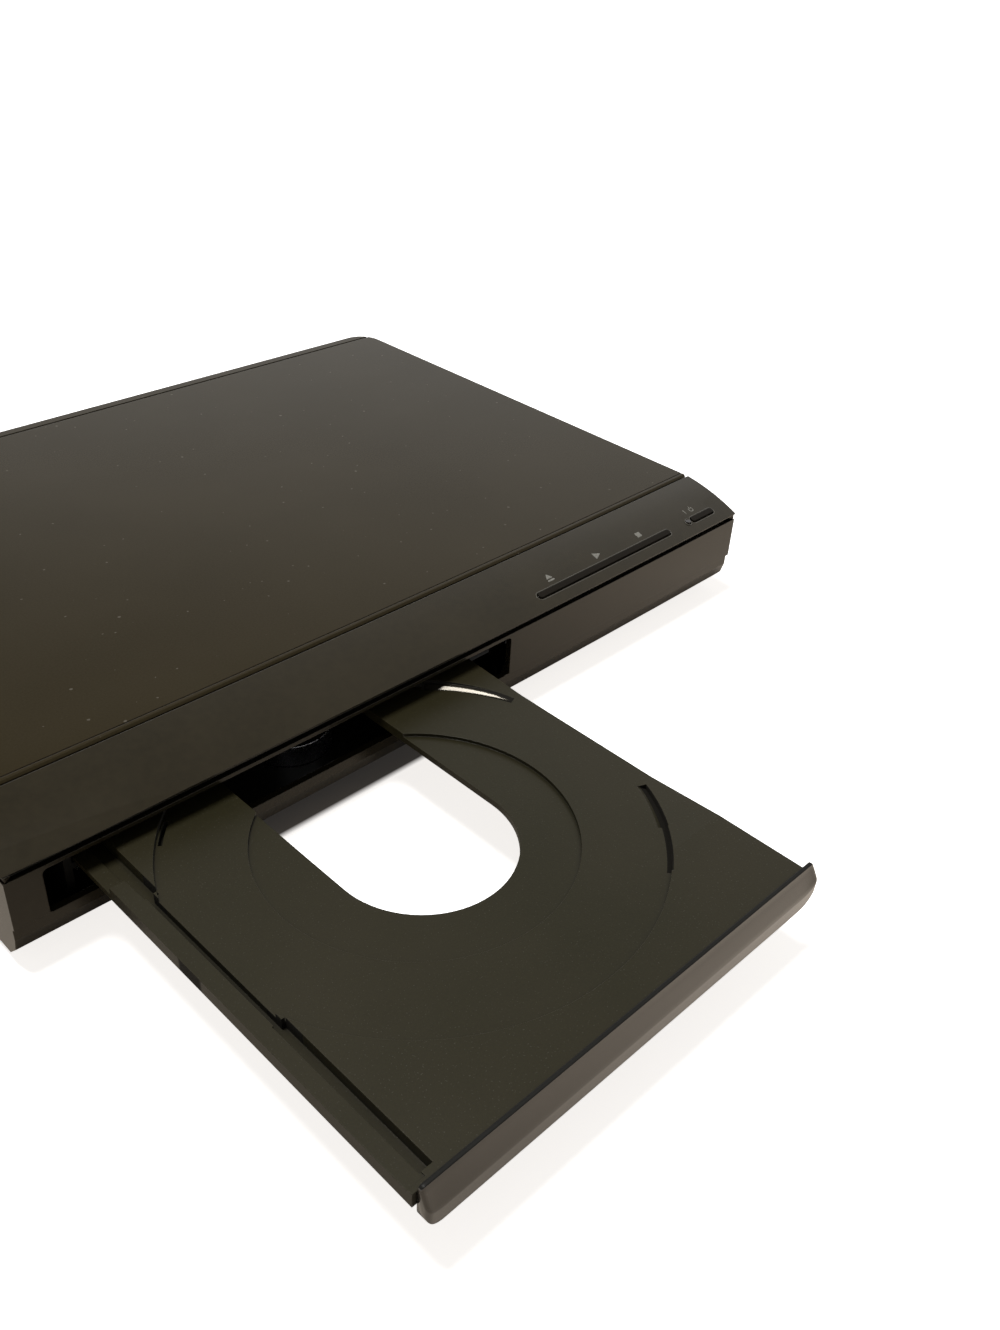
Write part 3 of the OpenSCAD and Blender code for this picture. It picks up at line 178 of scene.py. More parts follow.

# %% [markdown]
# ## The floor
# The floor is an ordinary pale surface that also glows for the camera, so it reads as white paper. The glow is
# weak under the player and under its tray's opening, where the shadow should stay deep, and strong around them,
# where it washes the shadow out. Under the opening the camera also sees a dark brown painted shadow. Every
# other ray sees the floor in a warmer tone, as of a wooden table, so what the front and the tray mirror is a
# painted reflection; it is painted dimmer towards the corner between them, a painted shade for where less light
# gets in. The floor is part of the stage, not of the object.

# %% Floor
floor_reach = 6
paper_tone, painted_shadow_tone = (0.97, 0.965, 0.955), (0.34, 0.27, 0.21)
wood_in_shade, wood_in_light = (0.47, 0.41, 0.34), (0.98, 0.86, 0.73)
glow_around, glow_under, glow_mirrored = 0.85, 0.02, 0.04
corners = [(-1, -1), (1, -1), (1, 1), (-1, 1)]
floor_mesh = bpy.data.meshes.new("floor")
floor_mesh.from_pydata([(floor_reach * x, floor_reach * y, 0) for x, y in corners], [], [(0, 1, 2, 3)])
floor = bpy.data.objects.new("floor", floor_mesh)
scene.collection.objects.link(floor)
paper = bpy.data.materials.new("white_paper")
paper.use_nodes = True
tree = paper.node_tree
shader = tree.nodes["Principled BSDF"]
shader.inputs["Roughness"].default_value = 0.9
shader.inputs["Specular IOR Level"].default_value = 0.1
shader.inputs["Emission Color"].default_value = (1, 0.97, 0.94, 1)
at = node(tree, "SeparateXYZ", Vector=node(tree, "TexCoord").outputs["Object"]).outputs


def oblong(x0, x1, soft_x, y0, y1, soft_y):
    """A mask of the oblong x0..x1 by y0..y1 on the floor, in metres."""
    return math2(tree, "MULTIPLY", within(tree, at["X"], x0, x1, soft_x), within(tree, at["Y"], y0, y1, soft_y))


under_body = oblong(-0.12, 0.12, 0.02, -0.02, 0.14, 0.015)
under_bay = oblong(-0.085, 0.0, 0.015, -0.0435, 0.0, 0.002)
glow = ramp(tree, math2(tree, "MAXIMUM", under_body, under_bay), 0, 1, glow_around, glow_under)
path = node(tree, "LightPath").outputs
outwards = math2(tree, "SUBTRACT", at["X"], at["Y"])
# Painted reflection and painted shade: the tone that mirrored and bounced rays see, darker towards the corner.
mirrored_tone_with_painted_shade = blend(tree, ramp(tree, outwards, 0.09, 0.2), wood_in_shade, wood_in_light)
# Painted shadow: under the opening the camera sees the floor in a dark brown.
plain = blend(tree, under_bay, paper_tone, painted_shadow_tone)
join(tree, blend(tree, path["Is Camera Ray"], mirrored_tone_with_painted_shade, plain), shader.inputs["Base Color"])
mirrored = math2(tree, "MAXIMUM", path["Is Glossy Ray"], path["Is Transmission Ray"])
straight = math2(tree, "MULTIPLY", path["Is Camera Ray"], glow)
shine = math2(tree, "ADD", straight, math2(tree, "MULTIPLY", mirrored, glow_mirrored))
join(tree, shine, shader.inputs["Emission Strength"])
floor_mesh.materials.append(paper)
print("floor in m:", floor.dimensions[:2])

# %% [markdown]
# ## How a finish is built
# No moulded or painted surface is one even colour. Each finish below starts from the same few
# layers, at the scale the real surface has: broad faint clouds in the colour, a fine grain that
# both tints and dents the surface, sparse specks, and edges that catch the light because they are
# rounded and rubbed. All of them read the object's own coordinates in metres, so a noise scale of
# 1000 makes features of about a millimetre. The Bevel node looks round each edge and returns the
# direction a rounded one would face, which gives a sharp solid its soft highlight.

# %% The layers of a finish
def start(name, rough, level=0.5, metal=0.0, **sockets):
    """A new material with its shader and object coordinates. Even values sit on the shader's sockets."""
    made = bpy.data.materials.new(name)
    made.use_nodes = True
    tree = made.node_tree
    shader = tree.nodes["Principled BSDF"]
    shader.inputs["Roughness"].default_value = rough
    shader.inputs["Specular IOR Level"].default_value = level
    shader.inputs["Metallic"].default_value = metal
    for key, value in sockets.items():
        shader.inputs[key.replace("_", " ")].default_value = value
    return made, tree, shader, node(tree, "TexCoord").outputs["Object"]


def noise(tree, where, mm, detail=2.0):
    """Cloudy noise from 0 to 1 whose features are about mm wide."""
    return node(tree, "TexNoise", Vector=where, Scale=1000.0 / mm, Detail=detail).outputs["Fac"]


def rounded(tree, mm):
    """(normal with edges rounded by mm, 0 to 1 mask of those edges)."""
    turned = node(tree, "Bevel", samples=4, Radius=mm / 1000).outputs[0]
    flat = node(tree, "NewGeometry").outputs["Normal"]
    alike = node(tree, "VectorMath", operation="DOT_PRODUCT")
    join(tree, turned, alike.inputs[0])
    join(tree, flat, alike.inputs[1])
    return turned, ramp(tree, alike.outputs["Value"], 0.995, 0.75)


# Painted shade: narrow grooves and hollows get a darker colour, read from the Ambient Occlusion node.
def shade_recess(tree, tone, mm, least):
    """Darkens tone to least of itself in grooves narrower than about mm: a painted shade, stronger where the
    Ambient Occlusion node finds the surface closed in.
    """
    painted_shade_tone = (0.002, 0.002, 0.0015)
    open_sky = node(tree, "AmbientOcclusion", samples=6, Distance=mm / 1000).outputs["AO"]
    return blend(tree, ramp(tree, open_sky, 0.25, 0.85, 1 - least, 0), tone, painted_shade_tone)


def dent(tree, shader, height, mm, normal=None):
    """Bumps the shader's normal by a height of 0..1, mm high."""
    made = node(tree, "Bump", Height=height, Distance=mm / 1000)
    if normal is not None:
        tree.links.new(normal, made.inputs["Normal"])
    tree.links.new(made.outputs[0], shader.inputs["Normal"])


print("layers:", [f.__name__ for f in (start, noise, rounded, shade_recess, dent)])

# %% [markdown]
# ## Moulded plastic
# Most of the player is black plastic that differs only in gloss and grain: the polished front, the
# pebbled tray, the plain inside parts. One recipe with a few dials covers them. Shading the colour
# and the roughness from the same noise keeps it believable, since a rubbed patch is both paler and
# shinier.

# %% Recipe for plastic
def plastic(name, colour, rough, level=0.5, cloud=0.12, cloud_mm=24, grain_mm=0.5, grain_h=0.004,
            edge=0.3, edge_mm=0.25, specks=0.0, speck_mm=0.5, speck_tone=(0.2, 0.19, 0.16),
            recess_mm=2.0, tint=(1, 1, 1), **sockets):
    """Plastic of that base colour. edge is how much paler its rounded edges are, specks how dense its pale
    flecks are, tint what its paler clouds lean towards, and recess_mm how narrow a groove must be to get a
    painted shade."""
    made, tree, shader, where = start(name, rough, level, **sockets)
    clouds = noise(tree, where, cloud_mm, 3)
    dark, pale = [c * (1 - cloud) for c in colour], [c * (1 + cloud) * t for c, t in zip(colour, tint)]
    tone = blend(tree, ramp(tree, clouds, 0.3, 0.7), dark, pale)
    grain = noise(tree, where, grain_mm, 3)
    tone = blend(tree, ramp(tree, grain, 0.35, 0.75, 0, 0.35), tone, [c * 1.5 for c in colour])
    if specks:
        flecks = ramp(tree, noise(tree, where, speck_mm, 0), 0.86 - specks, 0.9 - specks)
        tone = blend(tree, flecks, tone, speck_tone)
    turned, mask = rounded(tree, edge_mm)
    tone = blend(tree, math2(tree, "MULTIPLY", mask, edge), tone, [min(1, 3 * c + 0.02) for c in colour])
    # Painted shade: grooves narrower than recess_mm are darkened in the colour.
    join(tree, shade_recess(tree, tone, recess_mm, 0.15), shader.inputs["Base Color"])
    join(tree, ramp(tree, clouds, 0.3, 0.7, rough * 0.9, rough * 1.1), shader.inputs["Roughness"])
    dent(tree, shader, grain, grain_h, turned)
    return made


# recess_mm sets the reach of each plastic's painted shade; the loader's wide one darkens the bay's inside.
panel = plastic("polished_panel", (0.0195, 0.0155, 0.008), 0.18, 0.34, grain_mm=2.5, grain_h=0.003,
                edge=0.5, edge_mm=0.3, recess_mm=4, Specular_Tint=(1, 0.93, 0.82, 1))
tray_black = plastic("pebbled_tray", (0.0155, 0.0137, 0.0045), 0.42, 0.25, cloud=0.15, cloud_mm=60,
                     grain_mm=0.45, grain_h=0.02, specks=0.10, speck_mm=0.35, speck_tone=(0.04, 0.037, 0.026),
                     recess_mm=2.5, tint=(1.05, 0.95, 1.2), Specular_Tint=(1, 0.95, 0.88, 1))
tray_gloss = plastic("tray_front_plastic", (0.033, 0.028, 0.022), 0.2, 0.6, grain_mm=2.0, grain_h=0.002,
                     edge=0.1, Coat_Weight=0.5, Coat_Roughness=0.1, Specular_Tint=(1, 0.94, 0.86, 1))
loader = plastic("loader_plastic", (0.010, 0.0095, 0.008), 0.45, 0.12, grain_mm=0.8, grain_h=0.006,
                 recess_mm=6)
satin = plastic("key_plastic", (0.009, 0.007, 0.0045), 0.4, 0.07, grain_mm=0.5, grain_h=0.003, edge=0.1,
                recess_mm=1.2)
part_black = plastic("component_black", (0.016, 0.016, 0.017), 0.5, 0.4, grain_mm=0.3, grain_h=0.008)
rubber = plastic("foot_rubber", (0.014, 0.014, 0.014), 0.8, 0.3, grain_mm=0.35, grain_h=0.02, edge=0.15)
acetal = plastic("white_acetal", (0.72, 0.70, 0.64), 0.38, 0.5, cloud=0.04, grain_mm=1.2, grain_h=0.003,
                 edge=0.1, Subsurface_Weight=0.12, Subsurface_Scale=0.002)
print("plastics:", [m.name for m in (panel, tray_black, tray_gloss, loader, satin, part_black, rubber, acetal)])

# %% [markdown]
# ## Dull slopes at a disc's edge
# Short slopes lead down to where a disc's edge lies. The tool that moulds them leaves them duller than the
# pebbled flats, and their colour is painted almost black, a painted shade on the slopes. The tray is one solid
# with one material, so a mask picks the slopes out: it is 1 in a narrow ring round the disc's centre, and only
# where the surface tilts. The mask pulls the colour down, as painted shade, and the roughness up.

# %% Dull slopes
disc_centre = np.array([-51.6, -87.95])
painted_shade_on_slopes, dull_rough = (0.004, 0.0035, 0.002), 0.85


def dull_and_shade_slopes(finish, centre, inner, outer):
    """Dulls what tilts between two radii about centre, all in mm, and darkens it as painted shade. The radius
    is the length of the vector from centre, flattened, and the tilt is read from the normal's z."""
    tree = finish.node_tree
    shader = tree.nodes["Principled BSDF"]
    away = node(tree, "TexCoord").outputs["Object"]
    for kind, by in (("SUBTRACT", (*centre / 1000, 0)), ("MULTIPLY", (1, 1, 0)), ("LENGTH", None)):
        step = node(tree, "VectorMath", operation=kind)
        join(tree, away, step.inputs[0])
        if by:
            join(tree, by, step.inputs[1])
        away = step.outputs["Value" if kind == "LENGTH" else "Vector"]
    upright = node(tree, "SeparateXYZ", Vector=node(tree, "NewGeometry").outputs["Normal"]).outputs["Z"]
    ring = within(tree, away, inner / 1000, outer / 1000, 0.0001)
    mask = math2(tree, "MULTIPLY", ring, ramp(tree, upright, 0.96, 0.9))
    tone, rough = (shader.inputs[key].links[0].from_socket for key in ("Base Color", "Roughness"))
    # Painted shade: the slopes' colour is pulled almost to black.
    join(tree, blend(tree, mask, tone, painted_shade_on_slopes), shader.inputs["Base Color"])
    duller = math2(tree, "MAXIMUM", rough, math2(tree, "MULTIPLY", mask, dull_rough))
    join(tree, duller, shader.inputs["Roughness"])


dull_and_shade_slopes(tray_black, disc_centre, 61.1, 64.5)
print("dulled:", tray_black.name, "nodes:", len(tray_black.node_tree.nodes))

# %% [markdown]
# ## The painted cover
# The cover is folded steel with a warm black paint that dries to a fine leathery grain. Its gloss
# is low when seen from above and rises toward a flat view, which is what a low specular level does.
# Faint wiped smears change the roughness only, and a few specks of dust lie on it.

# %% Cover paint
cover_paint, tree, shader, where = start("cover_paint", 0.2, 0.10, Specular_Tint=(1, 0.89, 0.73, 1))
smear_map = node(tree, "Mapping", Vector=where)
smear_map.inputs["Rotation"].default_value = (0, 0, 0.6)
smear_map.inputs["Scale"].default_value = (1, 3, 1)
smears = noise(tree, smear_map.outputs[0], 60, 4)
clouds = noise(tree, where, 45, 3)
tone = blend(tree, ramp(tree, clouds, 0.3, 0.7), (0.0215, 0.016, 0.0065), (0.027, 0.0205, 0.0095))
grain = noise(tree, where, 0.55, 3)
tone = blend(tree, ramp(tree, grain, 0.3, 0.8, 0, 0.5), tone, (0.036, 0.028, 0.014))
dust = ramp(tree, noise(tree, where, 1.6, 0), 0.83, 0.86)
tone = blend(tree, math2(tree, "MULTIPLY", dust, 0.35), tone, (0.2, 0.18, 0.15))
turned, mask = rounded(tree, 0.4)
tone = blend(tree, math2(tree, "MULTIPLY", mask, 0.3), tone, (0.09, 0.075, 0.055))
join(tree, tone, shader.inputs["Base Color"])
join(tree, ramp(tree, smears, 0.3, 0.7, 0.17, 0.23), shader.inputs["Roughness"])
dent(tree, shader, grain, 0.012, turned)
print("paint:", cover_paint.name, "nodes:", len(tree.nodes))

# %% [markdown]
# ## Metals
# Bare metal takes its colour from its reflections, so its finish lies in the roughness and in fine
# dents: drawn lines on rods, blurred spangle on galvanised sheet, milling lines on a heatsink. A
# noise stretched along one axis by a Mapping node makes the lines.

# %% Recipe for metal
def metal(name, colour, rough, line_mm=(0.2, 0.2, 6), spangle_mm=0, depth=0.002, edge_mm=0.2, vary=1.0):
    """Metal with lines stretched along the largest of line_mm, or with zinc spangle of spangle_mm. The lower
    vary is, the more even the surface."""
    made, tree, shader, where = start(name, rough, 0.5, 1.0)
    drawn = node(tree, "Mapping", Vector=where)
    drawn.inputs["Scale"].default_value = [1000 / m for m in line_mm]
    lines = node(tree, "TexNoise", Vector=drawn.outputs[0], Scale=1.0, Detail=3).outputs["Fac"]
    field = lines
    if spangle_mm:
        cells = node(tree, "TexVoronoi", Vector=where, Scale=1000 / spangle_mm).outputs["Distance"]
        half_lines = math2(tree, "MULTIPLY", lines, 0.5)
        field = math2(tree, "ADD", math2(tree, "MULTIPLY", cells, 0.6), half_lines)
    dark, pale = (1 - 0.2 * vary), (1 + 0.12 * vary)
    tone = blend(tree, ramp(tree, field, 0.25, 0.8), [c * dark for c in colour],
                 [min(1, c * pale) for c in colour])
    turned, mask = rounded(tree, edge_mm)
    tone = blend(tree, math2(tree, "MULTIPLY", mask, 0.4), tone, [min(1, c * 1.3) for c in colour])
    smooth, coarse = rough * (1 - 0.25 * vary), rough * (1 + 0.3 * vary)
    join(tree, tone, shader.inputs["Base Color"])
    join(tree, ramp(tree, field, 0.2, 0.8, smooth, coarse), shader.inputs["Roughness"])
    dent(tree, shader, lines, depth, turned)
    return made


zinc_sheet = metal("zinc_sheet", (0.44, 0.45, 0.46), 0.42, (2, 2, 2), 7, vary=0.3)
bright = metal("bright_steel", (0.6, 0.6, 0.61), 0.25, (0.3, 8, 0.3))
silver = metal("finned_aluminium", (0.7, 0.71, 0.72), 0.35, (0.3, 8, 8))
brass = metal("brass", (0.72, 0.53, 0.25), 0.28, (0.3, 4, 0.3))
plated = metal("plated_sleeve", (0.66, 0.66, 0.64), 0.22, (4, 0.4, 4))
black_screw = metal("black_zinc_screw", (0.08, 0.08, 0.085), 0.38, (1, 1, 1))
print("metals:", [m.name for m in (zinc_sheet, bright, silver, brass, plated, black_screw)])

# %% [markdown]
# ## The circuit boards
# The boards sit inside the case and show when the cover is lifted off. A board is green lacquer
# over copper tracks, so the tracks are raised and a little paler. Two patterns make the tracks: the
# joints of a brick pattern are the straight ones, and the borders of a cell pattern the others.

# %% Circuit board
board_green, tree, shader, where = start("board_lacquer", 0.32, 0.5)
squares = node(tree, "TexBrick", Vector=where, Scale=160.0)
squares.inputs["Mortar Size"].default_value = 0.035
cells = node(tree, "TexVoronoi", Vector=where, Scale=180.0, feature="DISTANCE_TO_EDGE")
tracks = ramp(tree, cells.outputs["Distance"], 0.03, 0.06, 1, 0)
copper = math2(tree, "MAXIMUM", math2(tree, "MULTIPLY", squares.outputs["Fac"], 0.8), tracks)
clouds = noise(tree, where, 20, 2)
tone = blend(tree, ramp(tree, clouds, 0.3, 0.7), (0.012, 0.10, 0.03), (0.02, 0.14, 0.045))
tone = blend(tree, math2(tree, "MULTIPLY", copper, 0.5), tone, (0.06, 0.24, 0.07))
turned, mask = rounded(tree, 0.15)
tone = blend(tree, mask, tone, (0.35, 0.33, 0.16))
join(tree, tone, shader.inputs["Base Color"])
dent(tree, shader, copper, 0.03, turned)
print("board:", board_green.name, "nodes:", len(tree.nodes))

# %% [markdown]
# ## Flat cable and winding tape
# A flat cable shows its conductors through white film, and a transformer's winding is yellow tape
# laid over wire, so both have soft stripes. A wave pattern across one axis gives the stripes, and
# the same wave dents the surface. They are kept broader than single wires, so that they still read
# when the whole player is in view.

# %% Striped finishes
def striped(name, pale, dark, axis, scale, rough):
    """Stripes across one axis, soft at their edges. The wave pattern repeats every 0.314 / scale of a metre,
    which is 6.3 mm at a scale of 50."""
    made, tree, shader, where = start(name, rough, 0.4)
    wave = node(tree, "TexWave", Vector=where, Scale=scale, bands_direction=axis).outputs["Fac"]
    fine = noise(tree, where, 0.8, 2)
    tone = blend(tree, ramp(tree, wave, 0.35, 0.65), dark, pale)
    tone = blend(tree, ramp(tree, fine, 0.3, 0.7, 0, 0.25), tone, [c * 0.8 for c in pale])
    join(tree, tone, shader.inputs["Base Color"])
    dent(tree, shader, wave, 0.03, rounded(tree, 0.1)[0])
    return made


flat_cable = striped("flat_cable_film", (0.78, 0.78, 0.75), (0.52, 0.53, 0.54), "X", 50.0, 0.35)
winding = striped("winding_tape", (0.74, 0.52, 0.06), (0.58, 0.38, 0.03), "Z", 31.25, 0.4)
print("striped:", flat_cable.name, winding.name)

# %% [markdown]
# ## Glass and the lamp's window
# The pickup's lens is clear coated glass, faintly blue. The standby lamp is off, so its window is
# dark plastic that lets only a little light through. Both are clear finishes with a faint cloud of
# colour, and differ in how much passes through them.

# %% Clear finishes
def clear(name, rough, pale, dark, cloud_mm, **sockets):
    """A clear finish whose colour drifts from dark to pale in clouds of cloud_mm."""
    made, tree, shader, where = start(name, rough, 0.5, **sockets)
    join(tree, blend(tree, noise(tree, where, cloud_mm), dark, pale), shader.inputs["Base Color"])
    return made


glass = clear("pickup_lens_glass", 0.03, (0.9, 0.94, 1.0), (0.80, 0.86, 0.95), 1.5, IOR=1.5,
              Transmission_Weight=1.0)
lamp_clear = clear("lamp_window", 0.15, (0.02, 0.015, 0.012), (0.008, 0.006, 0.005), 1.0,
                   Transmission_Weight=0.15)
print("clear:", glass.name, lamp_clear.name)

# %% [markdown]
# ## The six sockets
# The plastic inside each socket is coloured so that a plug can be matched to it. All six belong to
# one node, so the colour is chosen by place: a ramp across X that steps from column to column, one
# for each row, and a step at the height between the rows.

# %% Socket colours
jack_x, jack_step, jack_mid = 0.0499956, 0.014, 0.0246
socket_plastic, tree, shader, where = start("socket_plastic", 0.35, 0.5)
apart = node(tree, "SeparateXYZ", Vector=where)
column = ramp(tree, apart.outputs["X"], jack_x - 1.5 * jack_step, jack_x + 1.5 * jack_step)


def row_of(colours):
    """A colour ramp of three even steps, left to right. It starts with two stops, and one goes between."""
    made = node(tree, "ValToRGB", Fac=column)
    made.color_ramp.interpolation = "CONSTANT"
    stops = made.color_ramp.elements
    stops.new(1 / 3)
    stops[2].position = 2 / 3
    for k, colour in enumerate(colours):
        stops[k].color = (*colour, 1)
    return made.outputs["Color"]


red, yellow, white = (0.55, 0.02, 0.02), (0.75, 0.55, 0.02), (0.72, 0.71, 0.68)
green, blue = (0.03, 0.35, 0.06), (0.02, 0.06, 0.42)
low_row, high_row = row_of([yellow, white, red]), row_of([green, blue, red])
upper = ramp(tree, apart.outputs["Z"], jack_mid - 0.0001, jack_mid + 0.0001)
tone = blend(tree, upper, low_row, high_row)
tone = blend(tree, ramp(tree, noise(tree, where, 3, 3), 0.3, 0.7, 0, 0.2), tone, (0.3, 0.28, 0.25))
join(tree, tone, shader.inputs["Base Color"])
dent(tree, shader, noise(tree, where, 0.8), 0.003, rounded(tree, 0.15)[0])
print("socket colours:", socket_plastic.name, "nodes:", len(tree.nodes))

# %% [markdown]
# ## Which solid gets which finish
# Every node of the CAD model names a material slot, and most slots have one finish. A few nodes
# differ from the rest of their slot, such as the keys, which are less glossy than the panel.

# %% Give the solids their finishes
by_slot = {"cover_black": cover_paint, "panel_black": panel, "base_metal": zinc_sheet,
           "rubber_black": rubber, "lens_clear": lamp_clear, "board_green": board_green,
           "part_black": part_black, "cable_white": flat_cable, "tray_grey": tray_black,
           "loader_black": loader, "bright_steel": bright, "white_acetal": acetal,
           "lens_glass": glass, "heatsink_aluminium": silver, "winding_yellow": winding,
           "brass": brass, "socket_steel": plated}
by_node = {"key_bar": satin, "power_key": satin, "tray_front": tray_gloss, "jack_inserts": socket_plastic,
           "cover_screws": black_screw}
slot_of = {row["node"]: row["material_slot"] for row in frame["record"]["subparts"]}
for name, solid in frame["nodes"].items():
    finish = by_node.get(name) or by_slot[slot_of[name]]
    if not solid.material_slots:
        solid.data.materials.append(finish)
    for holder in solid.material_slots:
        holder.material = finish
print("dressed:", len(frame["nodes"]), "finishes:", len(bpy.data.materials))

# %% [markdown]
# ## The key strip as a surface
# The strip behind the front lip is an arc in section, swept along a front that bows very slightly.
# Anything printed on it has to follow that surface, so the surface is written once, as a function
# of x and of the depth behind the lip, and every mark is laid on it.

# %% The strip's surface
bow, half_width, front_y = 1.34, 135.0, -44.95
bow_r = (half_width ** 2 + bow ** 2) / (2 * bow)
strip_r, strip_mid_p, strip_mid_z = 74.0, 29.940, -35.074


def bulge(x):
    """How far the front bows forward at x, along a circle of radius bow_r that gives 0 at the panel's ends."""
    return np.sqrt(bow_r ** 2 - x ** 2) - (bow_r - bow)


def on_strip(x, p, lift=0.0):
    """Points in mm on the strip: x along it, p behind its lip. The height is a circle of radius strip_r about a
    point strip_mid_p behind the lip at the height strip_mid_z, raised by lift along that radius."""
    x, p = np.broadcast_arrays(np.asarray(x, float), np.asarray(p, float))
    radius = strip_r + lift
    angle = np.arcsin((p - strip_mid_p) / strip_r)
    y = strip_mid_p + radius * np.sin(angle) - bulge(x) + front_y
    z = strip_mid_z + radius * np.cos(angle)
    return np.stack([x, y, z], -1)


def grid_mesh(name, points, finish, wrap_u=False):
    """A closed mesh from an array of points (u, v, 3) in mm. Doubled points, as at a pole, are merged into one.
    Its signed volume, a sixth of the sum of a . (b x c) over its triangles, tells whether the faces point
    inwards, and they are turned round if it is below zero."""
    nu, nv = points.shape[:2]
    index = np.arange(nu * nv).reshape(nu, nv)
    if wrap_u:
        index = np.concatenate([index, index[:1]])
    quads = np.stack([index[:-1, :-1], index[1:, :-1], index[1:, 1:], index[:-1, 1:]], -1).reshape(-1, 4)
    flat = np.round(points.reshape(-1, 3), 5)
    unique, back_to = np.unique(flat, axis=0, return_inverse=True)
    quads = back_to.reshape(-1)[quads]
    p = unique[quads]
    volume = sum((np.cross(p[:, 0], p[:, k]) * p[:, k + 1]).sum() for k in (1, 2)) / 6
    quads = quads[:, ::-1] if volume < 0 else quads
    faces = [tuple(dict.fromkeys(q)) for q in quads.tolist()]
    made = bpy.data.meshes.new(name)
    made.from_pydata((unique / 1000).tolist(), [], [f for f in faces if len(f) > 2])
    made.update()
    made.shade_smooth()
    made.materials.append(finish)
    thing = bpy.data.objects.new(name, made)
    scene.collection.objects.link(thing)
    return thing


print("strip height at the lip and at the seam:", on_strip(0, 0)[2].round(2), on_strip(0, 22)[2].round(2))

# %% [markdown]
# ## Printed marks
# The marks by the keys are pad-printed in pale grey ink, a few hundredths of a millimetre thick.
# Each one is a closed skin: rings of points run from its middle out to its outline on top, and
# back under it, where they sink a little into the panel so that no gap shows. Only the universal
# signs for eject, play, stop and power are drawn, as plain shapes.

# %% Ink film
ink, tree, shader, where = start("grey_ink", 0.55, 0.3)
worn = ramp(tree, noise(tree, where, 0.35, 3), 0.35, 0.65)
join(tree, blend(tree, worn, (0.15, 0.145, 0.125), (0.25, 0.24, 0.21)), shader.inputs["Base Color"])
dent(tree, shader, noise(tree, where, 0.2, 2), 0.004)
ink_top, ink_edge, ink_foot = 0.02, 0.005, -0.06


def polygon_radius(angle, corners, turn=0.0, soft=0.12):
    """Distance to the edge of a regular polygon at an angle: its apothem over the cosine of the angle to the
    nearest side's middle, eased near the corners."""
    step = 2 * math.pi / corners
    off = (angle - turn + step / 2) % step - step / 2
    sharp = math.cos(step / 2) / np.cos(off)
    return sharp * (1 - soft) + soft * math.cos(step / 2) * 1.12


def ink_patch(name, outline_x, outline_p):
    """A film made of rings that are v times the outline, about its middle: out along the top, and back in along
    the underside."""
    mid_x, mid_p = outline_x.mean(), outline_p.mean()
    v = np.array([0, 0.5, 0.9, 1.0, 1.0, 0.5, 0])[None, :]
    lift = np.array([ink_top] * 3 + [ink_edge] + [ink_foot] * 3)[None, :]
    x = mid_x + (outline_x[:, None] - mid_x) * v
    p = mid_p + (outline_p[:, None] - mid_p) * v
    made = grid_mesh(name, on_strip(x, p, lift), ink, wrap_u=True)
    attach(made, "housing")
    return made


def ink_ring(name, x0, p0, r0, r1, a0, a1):
    """A film along an arc: a flat oblong section carried from angle a0 to a1 about (x0, p0). At its ends it is
    drawn to a point in the section's middle."""
    a = np.radians(np.linspace(a0, a1, 40))[:, None]
    mid_r, mid_lift = (r0 + r1) / 2, (ink_top + ink_foot) / 2
    ends = np.ones_like(a)
    ends[[0, -1]] = 0
    r = mid_r + (np.array([r0, r1, r1, r0, r0])[None, :] - mid_r) * ends
    lift = mid_lift + (np.array([ink_top, ink_top, ink_foot, ink_foot, ink_top])[None, :] - mid_lift) * ends
    made = grid_mesh(name, on_strip(x0 + r * np.cos(a), p0 + r * np.sin(a), lift), ink)
    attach(made, "housing")
    return made


print("ink:", ink.name, "film in mm:", ink_top - ink_foot)

# %% [markdown]
# ## The seven marks
# Each sign is worked out as an outline round its middle: a triangle and a square from the regular
# polygon, and the bars as long boxes. The power sign is an arc with a bar in its gap, and the short
# line beside it stands for the same key. All of them sit in one row behind the keys.

# %% Marks
turn = np.linspace(0, 2 * math.pi, 72, endpoint=False)
c, s = np.cos(turn), np.sin(turn)
triangle = polygon_radius(turn, 3, math.pi / 3)
square = polygon_radius(turn, 4)
wide = 1 / np.maximum(np.abs(c) / 0.95, np.abs(s) / 0.2)
tall = 1 / np.maximum(np.abs(c) / 0.16, np.abs(s) / 0.95)
eject_x, play_x, stop_x, power_x, mark_p = 48, 70, 91.3, 119.6, 8.8
ink_patch("eject_mark_arrow", eject_x + 1.6 * triangle * s, mark_p + 0.5 + 1.3 * triangle * c)
ink_patch("eject_mark_bar", eject_x + 1.45 * wide * c, mark_p - 0.85 + 1.5 * wide * s)
ink_patch("play_mark", play_x + 2.0 * triangle * c, mark_p + 1.6 * triangle * s)
ink_patch("stop_mark", stop_x + 1.5 * square * c, mark_p + 1.4 * square * s)
ink_patch("power_mark_line", power_x - 3.4 + tall * c, mark_p - 0.1 + tall * s)
ink_ring("power_mark_ring", power_x, mark_p - 0.2, 0.75, 1.05, 125, 415)
ink_patch("power_mark_bar", power_x + 0.9 * tall * c, mark_p + 0.55 + 0.7 * tall * s)

# %% [markdown]
# ## Rims round the keys and the lamp
# Each key sits in a slot with a fine raised rim, which shows as a thin line of light. A rim is a
# closed ring: a small rounded section carried round the slot's outline. The outline is a straight
# bar with half-circle ends, and the strip's own surface function bends the ring onto the panel, so
# it needs no fitting.

# %% Rims
rim_finish = plastic("rim_plastic", (0.06, 0.053, 0.04), 0.22, 0.4, grain_mm=0.4, grain_h=0.002)
key_p, key_r, rim_foot = 4.7, 0.9, -0.3


